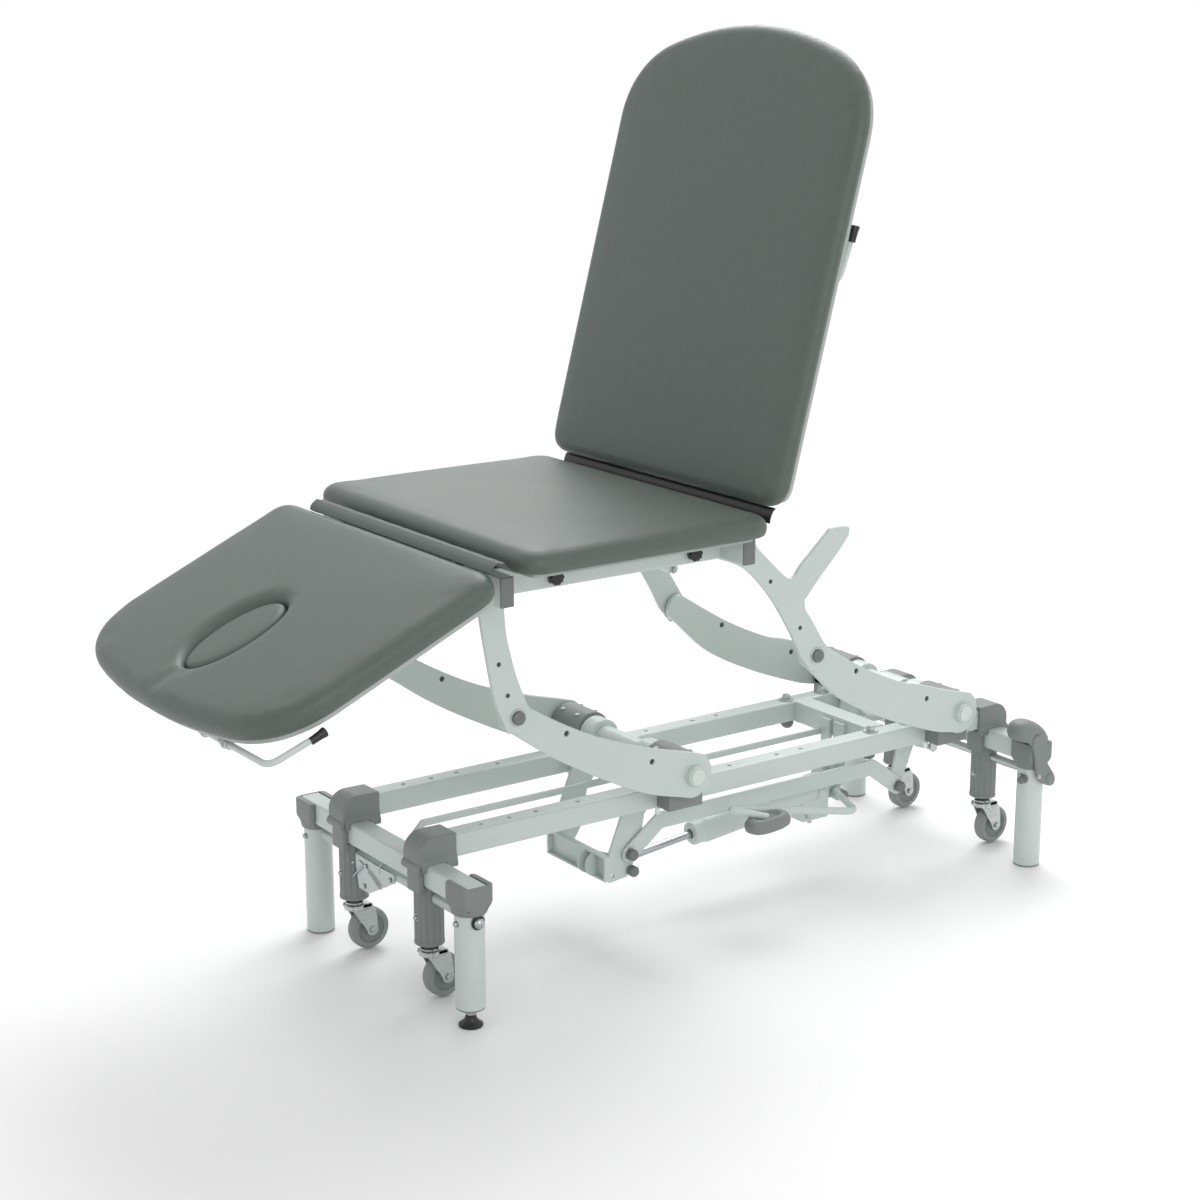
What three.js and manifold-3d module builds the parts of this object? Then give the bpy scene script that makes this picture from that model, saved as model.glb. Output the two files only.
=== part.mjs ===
// Treatment couch with a folding back rest, a tilting head rest, a pump lift and lowering castors.
// Millimetres, +Z up. The head end is at -X, the back rest end at +X and the pump pedal at -Y.
import * as THREE from "three";
import { mergeVertices } from "three/addons/utils/BufferGeometryUtils.js";
import Module from "manifold-3d";

const wasm = await Module();
wasm.setup();

// Clearances
const seatingGap = 0.3; // between two pieces that are fixed to each other
const runningGap = 0.3; // round a pin that turns in a flat-sided hole
const sideGap = 1; // beside a piece that swings or slides past another

// Base frame
const legSpanX = 659.3; // from the middle of the base to a cross tube
const legSpanY = 260;
const legRadius = 26;
const tubeSize = 40;
const tubeBottomZ = 217;
const tubeTopZ = 258;
const tubeCornerRadius = 4;
const crossTubeEndY = 288;
const railY = 130;
const railTopZ = 300;
const railHoleRadius = 4.5;
const railHoleDepth = 8;
const railEndOverhang = 19.7; // past the middle of the cross tube
const memberNearX = 358;
const memberFarX = 400;
const legCollarRadius = 30.5;
const legCollarBottomZ = 206;
const legCollarTopZ = 262;
const shortLegZ = 33; // the one leg that stands on a levelling foot
const footRadius = 21;
const footFlangeHeight = 5;
const footNeckHeight = 22;
const footNeckRadius = 11;
const footScrewRadius = 6;
const footScrewDepth = 36; // how far the screw reaches into the leg
const footScrewSpare = 24; // empty bore above the screw

// Hoods over the rail ends
const hoodHalfWidth = 27;
const hoodInnerX = 42.3; // from the cross tube's middle, towards the middle of the base
const hoodOuterX = 24.7;
const hoodTopZ = 306;
const hoodOuterZ = 250.6;
const hoodInnerZ = 246;

// Castor columns and castors
const columnRadius = 26;
const columnBottomZ = 107;
const columnFluteDepth = 1.8;
const columnFlutes = 10;
const saddlePlateZ = 206;
const columnEarReach = 31;
const columnEarHalfWidth = 20;
const columnEarTopZ = 250;
const shaftZ = 195;
const shaftRadius = 9;
const shaftEndY = 294;
const stemRadius = 11;
const stemTopZ = 182;
const stemPinRadius = 6;
const neckRadius = 15;
const forkTopZ = 94;
const forkBottomZ = 84;
const forkCrownRadius = 19;
const forkHalfWidth = 17;
const forkCheek = 3.4;
const forkBossRadius = 11;
const axleRadius = 4;
const wheelRadius = 38.5;
const wheelHalfWidth = 11.5;
const wheelFloorGap = 3;
const castorTrail = 27;

// Castor link gear
const crankPinDrop = 26; // straight below the shaft
const crankPinRadius = 4.2;
const crankWebDrop = 56; // how far the web on the head shaft reaches down
const crankWebThickness = 4;
const crankPlateThickness = 4;
const linkBarY = 23;
const linkBarThickness = 6;
const linkBarHeight = 12;
const linkBarTopZ = 268;
const linkShoulderX = 576;
const linkKneeX = 604;
const linkKneeZ = 234;
const linkLowKneeX = 618; // keeps the bar clear of the shafts when it moves
const linkLowKneeZ = 184;
const linkSlotDepth = 14;

// Castor pedal at the back right leg
const pedalPlate = 8;
const pedalHubRadius = 20;
const pedalPadX = 640;
const pedalPadZ = 296;
const pedalPadLength = 66;
const pedalPadWidth = 52;
const pedalPadHeight = 22;
const pedalPadRise = 8; // above the leg collar, so that the pad clears it when it tips

// Lift arms
const headPivotX = -148.1;
const backPivotInset = 146.9; // from the back cross tube to the back arm's base pivot
const basePivotX = [headPivotX, legSpanX - backPivotInset];
const basePivotZ = 330.4;
const armRiseX = -383.2; // from a base pivot to the top pivot on the same arm
const armRiseZ = 180.7;
const armOuterY = 209;
const armThickness = 12;
const torqueRadius = 24;
const hubRadius = 34;
const hubInnerY = 66;
const hubOuterY = 102;
const humpRadius = 29;
const bossRadius = 19;
const bossProud = 15;
const armHoleRadius = 5;
const topPinRadius = 8;
const topCapRadius = 10;
const crankPlateY = 88;
const crankThickness = 6;
const couplerPinX = -60; // from the base pivot
const couplerPinZ = -170;
const couplerPinRadius = 8;
const rodPinX = -203;
const rodPinZ = 126;
const channelX = -255;
const channelHalfWidth = 7;
const channelBottomZ = 114;
const channelTopZ = 162;

// Bearing saddles
const saddleInnerY = 104;
const saddleOuterY = 188;
const saddleRadius = 40;
const saddleHalfWidth = 38;
const saddleClawZ = 262;

// Coupler bar
const couplerTopZ = 228;
const couplerBackBend = 129.4; // from the back pivot to the bend before it
const couplerHeight = 33;
const couplerBendHeadX = -140;
const couplerBendBackX = basePivotX[1] - couplerBackBend;
const couplerEyeRadius = 17;
const couplerThickness = 6;

// Pump
const pumpY = -45;
const pumpPivotX = 340;
const pumpPivotZ = 182;
const pumpFrontX = -27;
const pumpBackX = 300;
const pumpBackWall = 8;
const pumpRadius = 26;
const pumpNoseRadius = 23;
const rodRadius = 7.5;
const rodInnerX = 145; // where the rod ends inside the cylinder at rest
const rodEyeRadius = 13;
const rodEyeHalfWidth = 8;
const pumpPinRadius = 6;
const pumpForkCheek = 8;
const pumpForkRadius = 14;
const lugThickness = 8;
const lugNearY = [-48, -19];
const lugFarY = [-6, 19];
const pumpBlockX = [236, 303];
const pumpBlockHalfWidth = 20;
const pumpBlockBottomZ = 116;
const pedalTubeRadius = 7;
const pedalPivotX = 325;
const pedalPivotZ = 160;
const pedalPivotRadius = 8;
const pedalBendX = 262;
const pedalBendY = -190;
const pedalBendZ = 172;
const pedalFrontX = -40;
const pedalFrontY = -168;
const pedalFrontZ = 232;
const footPadX = 31;
const footPadY = -204;
const footPadZ = 203;
const footPadLength = 96;
const footPadWidth = 52;
const footPadHeight = 26;

// Upper frame
const uprightInnerY = 211;
const uprightThickness = 8;
const upperTubeWidth = 25;
const upperTubeBottomZ = 729;
const upperTubeTopZ = 779;
const upperEndY = 290;
const headCrossX = -598;
const backCrossX = -95;
const sideTubeY = 215;
const knobX = [-497, -202];
const knobZ = 755;
const knobRadius = 13;
const knobReach = 14;
const hingeZ = 787;
const headHingeX = -604;
const backHingeX = -60;
const hingePinRadius = 5;
const hingeEyeRadius = 10;
const hingeY = 190;
const hingeWidth = 24;

// Cushions and their boards
const cushionHalfWidth = 357;
const backHalfWidth = 350;
const boardThickness = 8;
const boardInset = 14;
const seatLeftX = -600;
const seatRightX = -79;
const seatTopZ = 832;
const seatThickness = 45.7;
const cushionThickness = 48;
const backThickness = 40;
const seatCornerRadius = 52;
const headSlope = 24.1; // degrees below level at rest
const headEdgeX = -652;
const headEdgeZ = 815.5;
const headLength = 511;
const headCornerRadius = 127;
const headEndBow = 51.5;
const backSlope = 75.1; // degrees above level at rest
const backEdgeX = -94;
const backEdgeZ = 833.5;
const backLength = 842;
const backCornerRadius = 108;
const backEndBow = 87;
const cushionEdgeRadius = 19;
const cushionTuck = 7; // how far the sides are drawn in at the board
const cushionCrown = 5;
const faceHoleAlong = 322; // from the hinge edge of the head cushion
const faceHoleLength = 200;
const faceHoleWidth = 116;
const faceHoleFlare = 0.16; // how much wider the opening is at the top
const faceHoleLedge = 10;
const plugGap = 2;
const plugDrop = 9;
const beamHalfY = 150; // side beams under the head and back boards
const beamWidth = 22;
const beamHeight = 22;
const beamStart = 20; // from a cushion's hinge edge
const beamEndShare = 0.86; // of the cushion's length
const hingeArmRadius = 9;
const hingeArmReach = 40;
const hingeArmRoom = 30; // radius of the notch that a hinge arm swings in
const strutRoomY = 28;

// Release levers
const leverRadius = 5.5;
const leverTipRadius = 8.5;
const leverTipLength = 29;
const leverReach = 102; // from the turning axis to the end of the tip
const leverDrop = 66; // below the cushion's top
const leverInnerY = -60;
const leverOuterY = { head: -335, back: -313 };
const leverSplay = 12; // how far the end leans out past the bend
const leverAlongHead = 477; // from the hinge edge
const leverAlongBack = 405;
const leverBracketY = [-120, -190];
const leverBracketThickness = 5;
const leverBracketRadius = 10;

// Gas struts; a crank is the distance and angle from a hinge to the rod's eye
const strutRadius = 11;
const strutRodRadius = 4.5;
const strutEyeRadius = 9;
const strutHalfEye = 12;
const strutPinRadius = 4.5;
const strutCheek = 5;
const strutBoreStart = 13; // from the foot's pivot
const backStrutFoot = [-50, 660];
const backStrutCrank = 90;
const backStrutCrankAngle = -15; // degrees above the back board
const backStrutTube = 112;
const backStrutRod = 112;
const headStrutFoot = [-560, 630];
const headStrutCrank = 65;
const headStrutCrankAngle = 205;
const headStrutTube = 105;
const headStrutRod = 96;
const strutBracketGap = 10; // round the rod's eye, which hangs free in its bracket

const SIDES = { right: -1, left: 1 };
const ENDS = { head: -1, back: 1 };

// How round things are drawn
const roundSteps = 12;
const smallSteps = 8;
const fineSteps = 20;
const ovalSteps = 24;
const seatRimSteps = 52;
const longRimSteps = 60;
const boardRimSteps = 28;

const PAINT = { color: "#bcc5c1", roughness: 0.45, metalness: 0.15 };
const PLASTIC = { color: "#6b706f", roughness: 0.6, metalness: 0 };
const BLACK = { color: "#262827", roughness: 0.5, metalness: 0 };
const CHROME = { color: "#d8dbdc", roughness: 0.15, metalness: 1 };
const ZINC = { color: "#b3b6b4", roughness: 0.4, metalness: 0.8 };
const TYRE = { color: "#74787a", roughness: 0.7, metalness: 0 };
const COATED_BOARD = { color: "#a9afac", roughness: 0.55, metalness: 0 };
const VINYL = { color: "#6c7570", roughness: 0.55, metalness: 0 };

const couch = new THREE.Group();

// A closed three.js geometry as a manifold-3d solid.
function solid(geometry) {
  geometry.deleteAttribute("normal");
  geometry.deleteAttribute("uv");
  const merged = mergeVertices(geometry, 1e-4);
  const mesh = new wasm.Mesh({
    numProp: 3,
    vertProperties: new Float32Array(merged.attributes.position.array),
    triVerts: new Uint32Array(merged.index.array),
  });
  return new wasm.Manifold(mesh);
}

function union(...solids) {
  return solids.flat().reduce((all, next) => all.add(next));
}

function cut(body, ...tools) {
  return tools.flat().reduce((left, tool) => left.subtract(tool), body);
}

function addPiece(name, body, finish) {
  const found = body.getMesh();
  const geometry = new THREE.BufferGeometry();
  const places = new Float32Array(found.vertProperties);
  geometry.setAttribute("position", new THREE.BufferAttribute(places, 3));
  geometry.setIndex(new THREE.BufferAttribute(new Uint32Array(found.triVerts), 1));
  geometry.computeVertexNormals();
  const mesh = new THREE.Mesh(geometry, new THREE.MeshStandardMaterial(finish));
  mesh.name = name;
  couch.add(mesh);
}

// A box from its low and high limits along each axis.
function block(xs, ys, zs) {
  const spans = [xs, ys, zs].map(([a, b]) => [Math.min(a, b), Math.max(a, b)]);
  const sizes = spans.map(([low, high]) => high - low);
  const middles = spans.map(([low, high]) => (low + high) / 2);
  return solid(new THREE.BoxGeometry(...sizes).translate(...middles));
}

// A round bar between two points.
function bar(radius, from, to, steps = roundSteps) {
  const start = new THREE.Vector3(...from);
  const end = new THREE.Vector3(...to);
  const geometry = new THREE.CylinderGeometry(radius, radius, start.distanceTo(end), steps);
  const along = end.clone().sub(start).normalize();
  const turn = new THREE.Quaternion().setFromUnitVectors(new THREE.Vector3(0, 1, 0), along);
  geometry.applyQuaternion(turn);
  geometry.translate(...start.add(end).divideScalar(2).toArray());
  return solid(geometry);
}

// The corner radius of a flat-sided hole that clears a turning pin all round.
function boreRadius(pinRadius, steps = smallSteps) {
  return (pinRadius + runningGap) / Math.cos(Math.PI / steps);
}

// A round body about a vertical line; the profile is [radius, height] points.
function turned([x, y], profile, steps = roundSteps) {
  const points = profile.map(([radius, height]) => new THREE.Vector2(radius, height));
  const geometry = new THREE.LatheGeometry(points, steps);
  return solid(geometry.rotateX(Math.PI / 2).translate(x, y, 0));
}

// An outline of [x, z] points made into a plate between two values of y.
function plate(outline, [y0, y1]) {
  const shape = new THREE.Shape(outline.map(([x, z]) => new THREE.Vector2(x, z)));
  const depth = Math.abs(y1 - y0);
  const geometry = new THREE.ExtrudeGeometry(shape, { depth, bevelEnabled: false });
  return solid(geometry.rotateX(Math.PI / 2).translate(0, Math.max(y0, y1), 0));
}

// A round bent tube along a list of points.
function bentBar(radius, points, steps, corner) {
  const path = new THREE.CurvePath();
  const places = points.map((point) => new THREE.Vector3(...point));
  let from = places[0];
  places.slice(1, -1).forEach((bend, i) => {
    const before = bend.clone().add(places[i].clone().sub(bend).setLength(corner));
    const after = bend.clone().add(places[i + 2].clone().sub(bend).setLength(corner));
    path.add(new THREE.LineCurve3(from, before));
    path.add(new THREE.QuadraticBezierCurve3(before, bend, after));
    from = after;
  });
  path.add(new THREE.LineCurve3(from, places.at(-1)));
  const circle = new THREE.Shape().absarc(0, 0, radius, 0, 2 * Math.PI);
  const settings = { steps, extrudePath: path, curveSegments: 4 };
  return solid(new THREE.ExtrudeGeometry(circle, settings));
}

// Points of an arc in the XZ plane, from one angle to another in degrees.
function arc([x, z], radius, from, to, steps) {
  return Array.from({ length: steps + 1 }, (_, i) => {
    const angle = ((from + ((to - from) * i) / steps) * Math.PI) / 180;
    return [x + radius * Math.cos(angle), z + radius * Math.sin(angle)];
  });
}

// A link between two round ends in the XZ plane.
function linkOutline([x0, z0], r0, [x1, z1], r1, steps = 4) {
  const angle = (Math.atan2(z1 - z0, x1 - x0) * 180) / Math.PI;
  return [
    ...arc([x0, z0], r0, angle + 90, angle + 270, steps),
    ...arc([x1, z1], r1, angle - 90, angle + 90, steps),
  ];
}

// A point that is swung in the XZ plane from a pivot, at a distance and an angle above +X.
function polar([x, z], reach, degrees) {
  const angle = (degrees * Math.PI) / 180;
  return [x + reach * Math.cos(angle), z + reach * Math.sin(angle)];
}

function forCorners(make) {
  for (const [end, endSign] of Object.entries(ENDS))
    for (const [side, sideSign] of Object.entries(SIDES)) make(end, endSign, side, sideSign);
}

const columnTopZ = tubeBottomZ - seatingGap;
const railBottomZ = tubeTopZ + seatingGap;
const railInnerY = railY - tubeSize / 2;
const railOuterY = railY + tubeSize / 2;
const wheelZ = wheelRadius + wheelFloorGap;

// The base: cross tubes, rails, cross member, legs and their collars

function roundedTube(length, height) {
  const half = tubeSize / 2;
  const r = tubeCornerRadius;
  const corners = [
    [half - r, height - r, 0],
    [r - half, height - r, 90],
    [r - half, r, 180],
    [half - r, r, 270],
  ];
  const outline = corners.flatMap(([x, z, at]) => arc([x, z], r, at, at + 90, 2));
  return plate(outline, [-length / 2, length / 2]);
}

for (const [end, sign] of Object.entries(ENDS)) {
  const tube = roundedTube(2 * crossTubeEndY, tubeTopZ - tubeBottomZ);
  addPiece("cross_tube_" + end, tube.translate([sign * legSpanX, 0, tubeBottomZ]), PAINT);
}

// Places along the rails as shares of the distance from the middle to a cross tube.
const railHoleShares = [-0.837, -0.748, -0.664, -0.528, -0.005, 0.168, 0.258];

for (const [side, sign] of Object.entries(SIDES)) {
  const reach = legSpanX + railEndOverhang;
  const turnedTube = roundedTube(2 * reach, railTopZ - railBottomZ).rotate([0, 0, 90]);
  const holes = railHoleShares.map((share) => {
    const x = share * legSpanX;
    return bar(railHoleRadius, [x, sign * railY, railTopZ - railHoleDepth],
      [x, sign * railY, railTopZ + railHoleDepth], smallSteps);
  });
  const rail = cut(turnedTube.translate([0, sign * railY, railBottomZ]), holes);
  addPiece("rail_" + side, rail, PAINT);
}

function memberLug([y0, y1]) {
  const plateX = memberNearX - lugThickness;
  const pivot = [pumpPivotX, pumpPivotZ];
  const strip = block([plateX, memberNearX + lugThickness], [y0, y1],
    [pumpPivotZ, railTopZ - lugThickness]);
  const hanger = block([plateX, memberNearX], [y0, y1], [pumpPivotZ, railBottomZ]);
  const face = block([plateX, memberNearX + lugThickness], [y0, y1],
    [railBottomZ, railTopZ - lugThickness]);
  const foot = plate(linkOutline(pivot, pumpForkRadius, [plateX + lugThickness / 2, pumpPivotZ
    + pumpForkRadius], lugThickness / 2), [y0, y1]);
  return union(strip.intersect(union(hanger, face)), foot);
}

{
  const endY = railInnerY - seatingGap;
  const body = block([memberNearX, memberFarX], [-endY, endY], [railBottomZ, railTopZ]);
  const slotHalf = linkBarThickness / 2 + 2 * sideGap;
  const slot = block([memberNearX - lugThickness, memberFarX + lugThickness],
    [linkBarY - slotHalf, linkBarY + slotHalf],
    [railBottomZ - sideGap, railBottomZ + linkSlotDepth]);
  const pin = bar(pumpPinRadius, [pumpPivotX, lugNearY[0] - pumpForkCheek - 2 * sideGap, pumpPivotZ],
    [pumpPivotX, lugFarY[0] + sideGap, pumpPivotZ], smallSteps);
  addPiece("cross_member", union(cut(body, slot), memberLug(lugNearY), memberLug(lugFarY), pin),
    PAINT);
}

forCorners((end, endSign, side, sideSign) => {
  const name = end + "_" + side;
  const x = endSign * legSpanX;
  const y = sideSign * legSpanY;
  const onFoot = end === "head" && side === "right";
  const bottom = onFoot ? shortLegZ : 0;
  const tube = bar(legRadius, [x, y, bottom], [x, y, columnTopZ], fineSteps);
  const shaftBore = bar(boreRadius(shaftRadius), [x, y - 2 * legRadius, shaftZ],
    [x, y + 2 * legRadius, shaftZ], smallSteps);
  const screwBore = bar(boreRadius(footScrewRadius), [x, y, 0],
    [x, y, shortLegZ + footScrewDepth + footScrewSpare], smallSteps);
  addPiece("leg_" + name, cut(tube, shaftBore, onFoot ? [screwBore] : []), PAINT);

  const ring = bar(legCollarRadius, [x, y, legCollarBottomZ], [x, y, legCollarTopZ], fineSteps);
  const legHole = bar(legRadius + seatingGap, [x, y, 0], [x, y, tubeBottomZ], fineSteps);
  const half = tubeSize / 2 + seatingGap;
  const tubeSlot = block([x - half, x + half], [y - 2 * legRadius, y + 2 * legRadius],
    [columnTopZ, 2 * legCollarTopZ]);
  addPiece("leg_collar_" + name, cut(ring, legHole, tubeSlot), PLASTIC);
});

{
  const at = [-legSpanX, -legSpanY];
  const profile = [
    [0, 0],
    [footRadius, 0],
    [footRadius, footFlangeHeight],
    [footNeckRadius, footNeckHeight],
    [footScrewRadius, footNeckHeight],
    [footScrewRadius, shortLegZ + footScrewDepth],
    [0, shortLegZ + footScrewDepth],
  ];
  addPiece("levelling_foot", turned(at, profile), BLACK);
}

// Hoods over the rail ends

forCorners((end, endSign, side, sideSign) => {
  const x = endSign * legSpanX;
  const y = sideSign * railY;
  const roundCentre = hoodTopZ - hoodOuterZ;
  const outline = [
    [-hoodInnerX, hoodInnerZ],
    [hoodOuterX, hoodOuterZ],
    ...arc([hoodOuterX - roundCentre / 2, hoodTopZ - roundCentre / 2], roundCentre / 2, 0, 90, 5),
    [-hoodInnerX, railTopZ + 2 * seatingGap],
  ];
  const shell = plate(outline.map(([along, z]) => [x + endSign * along, z]).reverse(),
    [y - hoodHalfWidth, y + hoodHalfWidth]);
  const railHalf = tubeSize / 2 + seatingGap;
  const railEnd = legSpanX + railEndOverhang + 2 * seatingGap;
  const inside = block([endSign * (legSpanX - 2 * hoodInnerX), endSign * railEnd],
    [y - railHalf, y + railHalf], [0, railTopZ + seatingGap]);
  const tubeHole = block([x - railHalf, x + railHalf], [y - 2 * railHalf, y + 2 * railHalf],
    [0, railBottomZ]);
  addPiece("rail_hood_" + end + "_" + side, cut(shell, inside, tubeHole), PLASTIC);
});

// Castor columns under the cross tubes

function flutedOutline() {
  return Array.from({ length: 2 * columnFlutes }, (_, i) => {
    const radius = i % 2 ? columnRadius - columnFluteDepth : columnRadius;
    return polar([0, 0], radius, (i * 180) / columnFlutes);
  });
}

forCorners((end, endSign, side, sideSign) => {
  const x = endSign * legSpanX;
  const y = sideSign * railY;
  const shape = new THREE.Shape(flutedOutline().map(([u, v]) => new THREE.Vector2(u, v)));
  const depth = columnTopZ - columnBottomZ;
  const column = solid(new THREE.ExtrudeGeometry(shape, { depth, bevelEnabled: false }))
    .translate([x, y, columnBottomZ]);
  const earX = [x - columnEarReach, x - tubeSize / 2 - seatingGap];
  const saddle = block([x - columnEarReach, x + columnRadius], [y - columnEarHalfWidth,
    y + columnEarHalfWidth], [saddlePlateZ, columnTopZ]);
  const ear = block(earX, [y - columnEarHalfWidth, y + columnEarHalfWidth],
    [saddlePlateZ, columnEarTopZ - columnEarHalfWidth / 2]);
  const earTop = bar(columnEarHalfWidth / 2,
    [earX[0], y, columnEarTopZ - columnEarHalfWidth / 2],
    [earX[1], y, columnEarTopZ - columnEarHalfWidth / 2], smallSteps);
  const shaftBore = bar(boreRadius(shaftRadius), [x, y - 2 * columnRadius, shaftZ],
    [x, y + 2 * columnRadius, shaftZ], smallSteps);
  const stemBore = bar(boreRadius(stemRadius), [x, y, 0], [x, y, shaftZ], smallSteps);
  addPiece("castor_column_" + end + "_" + side,
    cut(union(column, saddle, ear, earTop), shaftBore, stemBore), PLASTIC);

  const stem = turned([x, y], [
    [0, forkBottomZ],
    [stemPinRadius, forkBottomZ],
    [stemPinRadius, forkTopZ + seatingGap],
    [neckRadius, forkTopZ + seatingGap],
    [neckRadius, columnBottomZ - seatingGap],
    [stemRadius, columnBottomZ - seatingGap],
    [stemRadius, stemTopZ],
    [0, stemTopZ],
  ], smallSteps);
  addPiece("castor_stem_" + end + "_" + side, stem, BLACK);

  const wheelX = x + castorTrail;
  const crown = bar(forkCrownRadius, [x, y, forkBottomZ], [x, y, forkTopZ]);
  const crownHole = bar(boreRadius(stemPinRadius), [x, y, 0], [x, y, tubeBottomZ], smallSteps);
  const cheeks = [-1, 1].map((s) => {
    const inner = y + s * (forkHalfWidth - forkCheek);
    const outline = [
      [x - forkCrownRadius * 0.6, forkTopZ],
      [x - forkCrownRadius * 0.4, forkBottomZ],
      ...arc([wheelX, wheelZ], forkBossRadius, 200, 380, 6),
      [x + forkCrownRadius * 1.4, forkTopZ],
    ];
    return plate(outline, [inner, y + s * forkHalfWidth]);
  });
  const bridge = block([x, x + forkCrownRadius * 1.3], [y - forkHalfWidth, y + forkHalfWidth],
    [forkBottomZ, forkTopZ]);
  const axle = bar(axleRadius, [wheelX, y - forkHalfWidth, wheelZ],
    [wheelX, y + forkHalfWidth, wheelZ], smallSteps);
  addPiece("castor_fork_" + end + "_" + side,
    cut(union(crown, cheeks, bridge, axle), crownHole), ZINC);

  const shoulder = wheelHalfWidth * 0.5;
  const wheel = turned([0, 0], [
    [axleRadius + runningGap, -wheelHalfWidth],
    [wheelRadius * 0.9, -wheelHalfWidth],
    [wheelRadius, -shoulder],
    [wheelRadius, shoulder],
    [wheelRadius * 0.9, wheelHalfWidth],
    [axleRadius + runningGap, wheelHalfWidth],
    [axleRadius + runningGap, -wheelHalfWidth],
  ], fineSteps);
  addPiece("castor_wheel_" + end + "_" + side,
    wheel.rotate([90, 0, 0]).translate([wheelX, y, wheelZ]), TYRE);
});

// Castor shafts, link bar and pedal

function crankPin(endSign) {
  return [endSign * legSpanX, shaftZ - crankPinDrop];
}

function shaftCrank(endSign) {
  const near = linkBarY - linkBarThickness / 2 - sideGap;
  const shaft = [endSign * legSpanX, shaftZ];
  const arm = plate(linkOutline(shaft, shaftRadius * 1.6, crankPin(endSign), shaftRadius),
    [near - crankPlateThickness, near]);
  const [pinX, pinZ] = crankPin(endSign);
  const pin = bar(crankPinRadius, [pinX, near - sideGap, pinZ],
    [pinX, near + linkBarThickness + 2 * sideGap, pinZ], smallSteps);
  return union(arm, pin);
}

// Corners of the web on the head shaft, as shares of the room between the columns and of its drop.
const crankWebShares = [
  [1, -0.16],
  [1, 0.112],
  [-0.33, 0.112],
  [-0.33, -0.16],
  [0.55, -1],
  [0.9, -1],
];

{
  const x = -legSpanX;
  const shaft = bar(shaftRadius, [x, -shaftEndY, shaftZ], [x, shaftEndY, shaftZ], smallSteps);
  const innerY = railY - columnRadius - 3 * sideGap;
  const shape = new THREE.Shape(crankWebShares.map(([across, rise]) => new THREE.Vector2(
    across * innerY, rise * crankWebDrop)));
  const settings = { depth: crankWebThickness, bevelEnabled: false };
  const web = solid(new THREE.ExtrudeGeometry(shape, settings)
    .rotateX(Math.PI / 2).rotateZ(Math.PI / 2)
    .translate(x - shaftRadius - crankWebThickness + sideGap, 0, shaftZ));
  addPiece("castor_shaft_head", union(shaft, shaftCrank(-1), web), ZINC);
}

{
  const y = [linkBarY - linkBarThickness / 2, linkBarY + linkBarThickness / 2];
  const low = linkBarTopZ - linkBarHeight;
  const half = linkBarHeight / 2;
  const pins = [crankPin(ENDS.head), crankPin(ENDS.back)];
  const slopes = [ENDS.head, ENDS.back].flatMap((sign) => {
    const lowKnee = [sign * linkLowKneeX, linkLowKneeZ];
    const knee = [sign * linkKneeX, linkKneeZ];
    const shoulder = [sign * linkShoulderX, low + half];
    return [
      plate(linkOutline(crankPin(sign), half, lowKnee, half, 6), y),
      plate(linkOutline(lowKnee, half, knee, half, 6), y),
      plate(linkOutline(knee, half, shoulder, half, 6), y),
    ];
  });
  const middle = block([-linkShoulderX, linkShoulderX], y, [low, linkBarTopZ]);
  const holes = pins.map(([x, z]) => bar(boreRadius(crankPinRadius), [x, y[0] - half, z],
    [x, y[1] + half, z], smallSteps));
  const eyes = pins.map(([x, z]) => bar(half * 1.2, [x, y[0], z], [x, y[1], z], smallSteps));
  addPiece("castor_link_bar", cut(union(slopes, middle, eyes), holes), PAINT);
}

// A pad's rim from its underside to its hollow top, as shares of its half width and height.
const padShares = [[0, 0], [0.78, 0], [0.97, 0.3], [1, 0.62], [0.9, 0.9], [0.72, 1], [0.5, 0.93],
  [0, 0.9]];

// A flat oval pad with rounded rims, lying level.
function ovalPad([x, y, z], length, width, height) {
  const disc = turned([0, 0], padShares);
  return disc.scale([length / 2, width / 2, height]).translate([x, y, z]);
}

{
  const x = legSpanX;
  const outY = -(legSpanY + legCollarRadius + sideGap);
  const shaft = bar(shaftRadius, [x, outY - pedalPlate, shaftZ], [x, shaftEndY, shaftZ], smallSteps);
  const armY = [outY - pedalPlate, outY];
  const hub = plate(linkOutline([x, shaftZ], pedalHubRadius,
    [pedalPadX, pedalPadZ - pedalHubRadius / 2], pedalHubRadius * 0.8), armY);
  const toe = plate(linkOutline([x, shaftZ], pedalHubRadius * 0.9,
    [x + pedalHubRadius, shaftZ - pedalHubRadius * 0.5], pedalHubRadius * 0.5), armY);
  const shelfZ = legCollarTopZ + pedalPadRise;
  const shelf = block([pedalPadX - pedalPadLength * 0.38, pedalPadX + pedalPadLength * 0.38],
    [armY[0], -legSpanY + legRadius], [shelfZ, pedalPadZ]);
  const pad = ovalPad([pedalPadX, -legSpanY, shelfZ + pedalPlate], pedalPadLength * 1.1,
    pedalPadWidth * 1.2, pedalPadHeight * 1.5);
  const clearLeg = bar(legRadius * 1.3, [x, -legSpanY, 0], [x, -legSpanY, shelfZ], roundSteps);
  addPiece("castor_pedal", union(shaft, cut(union(hub, toe, shelf, pad), clearLeg), shaftCrank(1)),
    PLASTIC);
}

// Lift arms with their torque tubes and cranks

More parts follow.
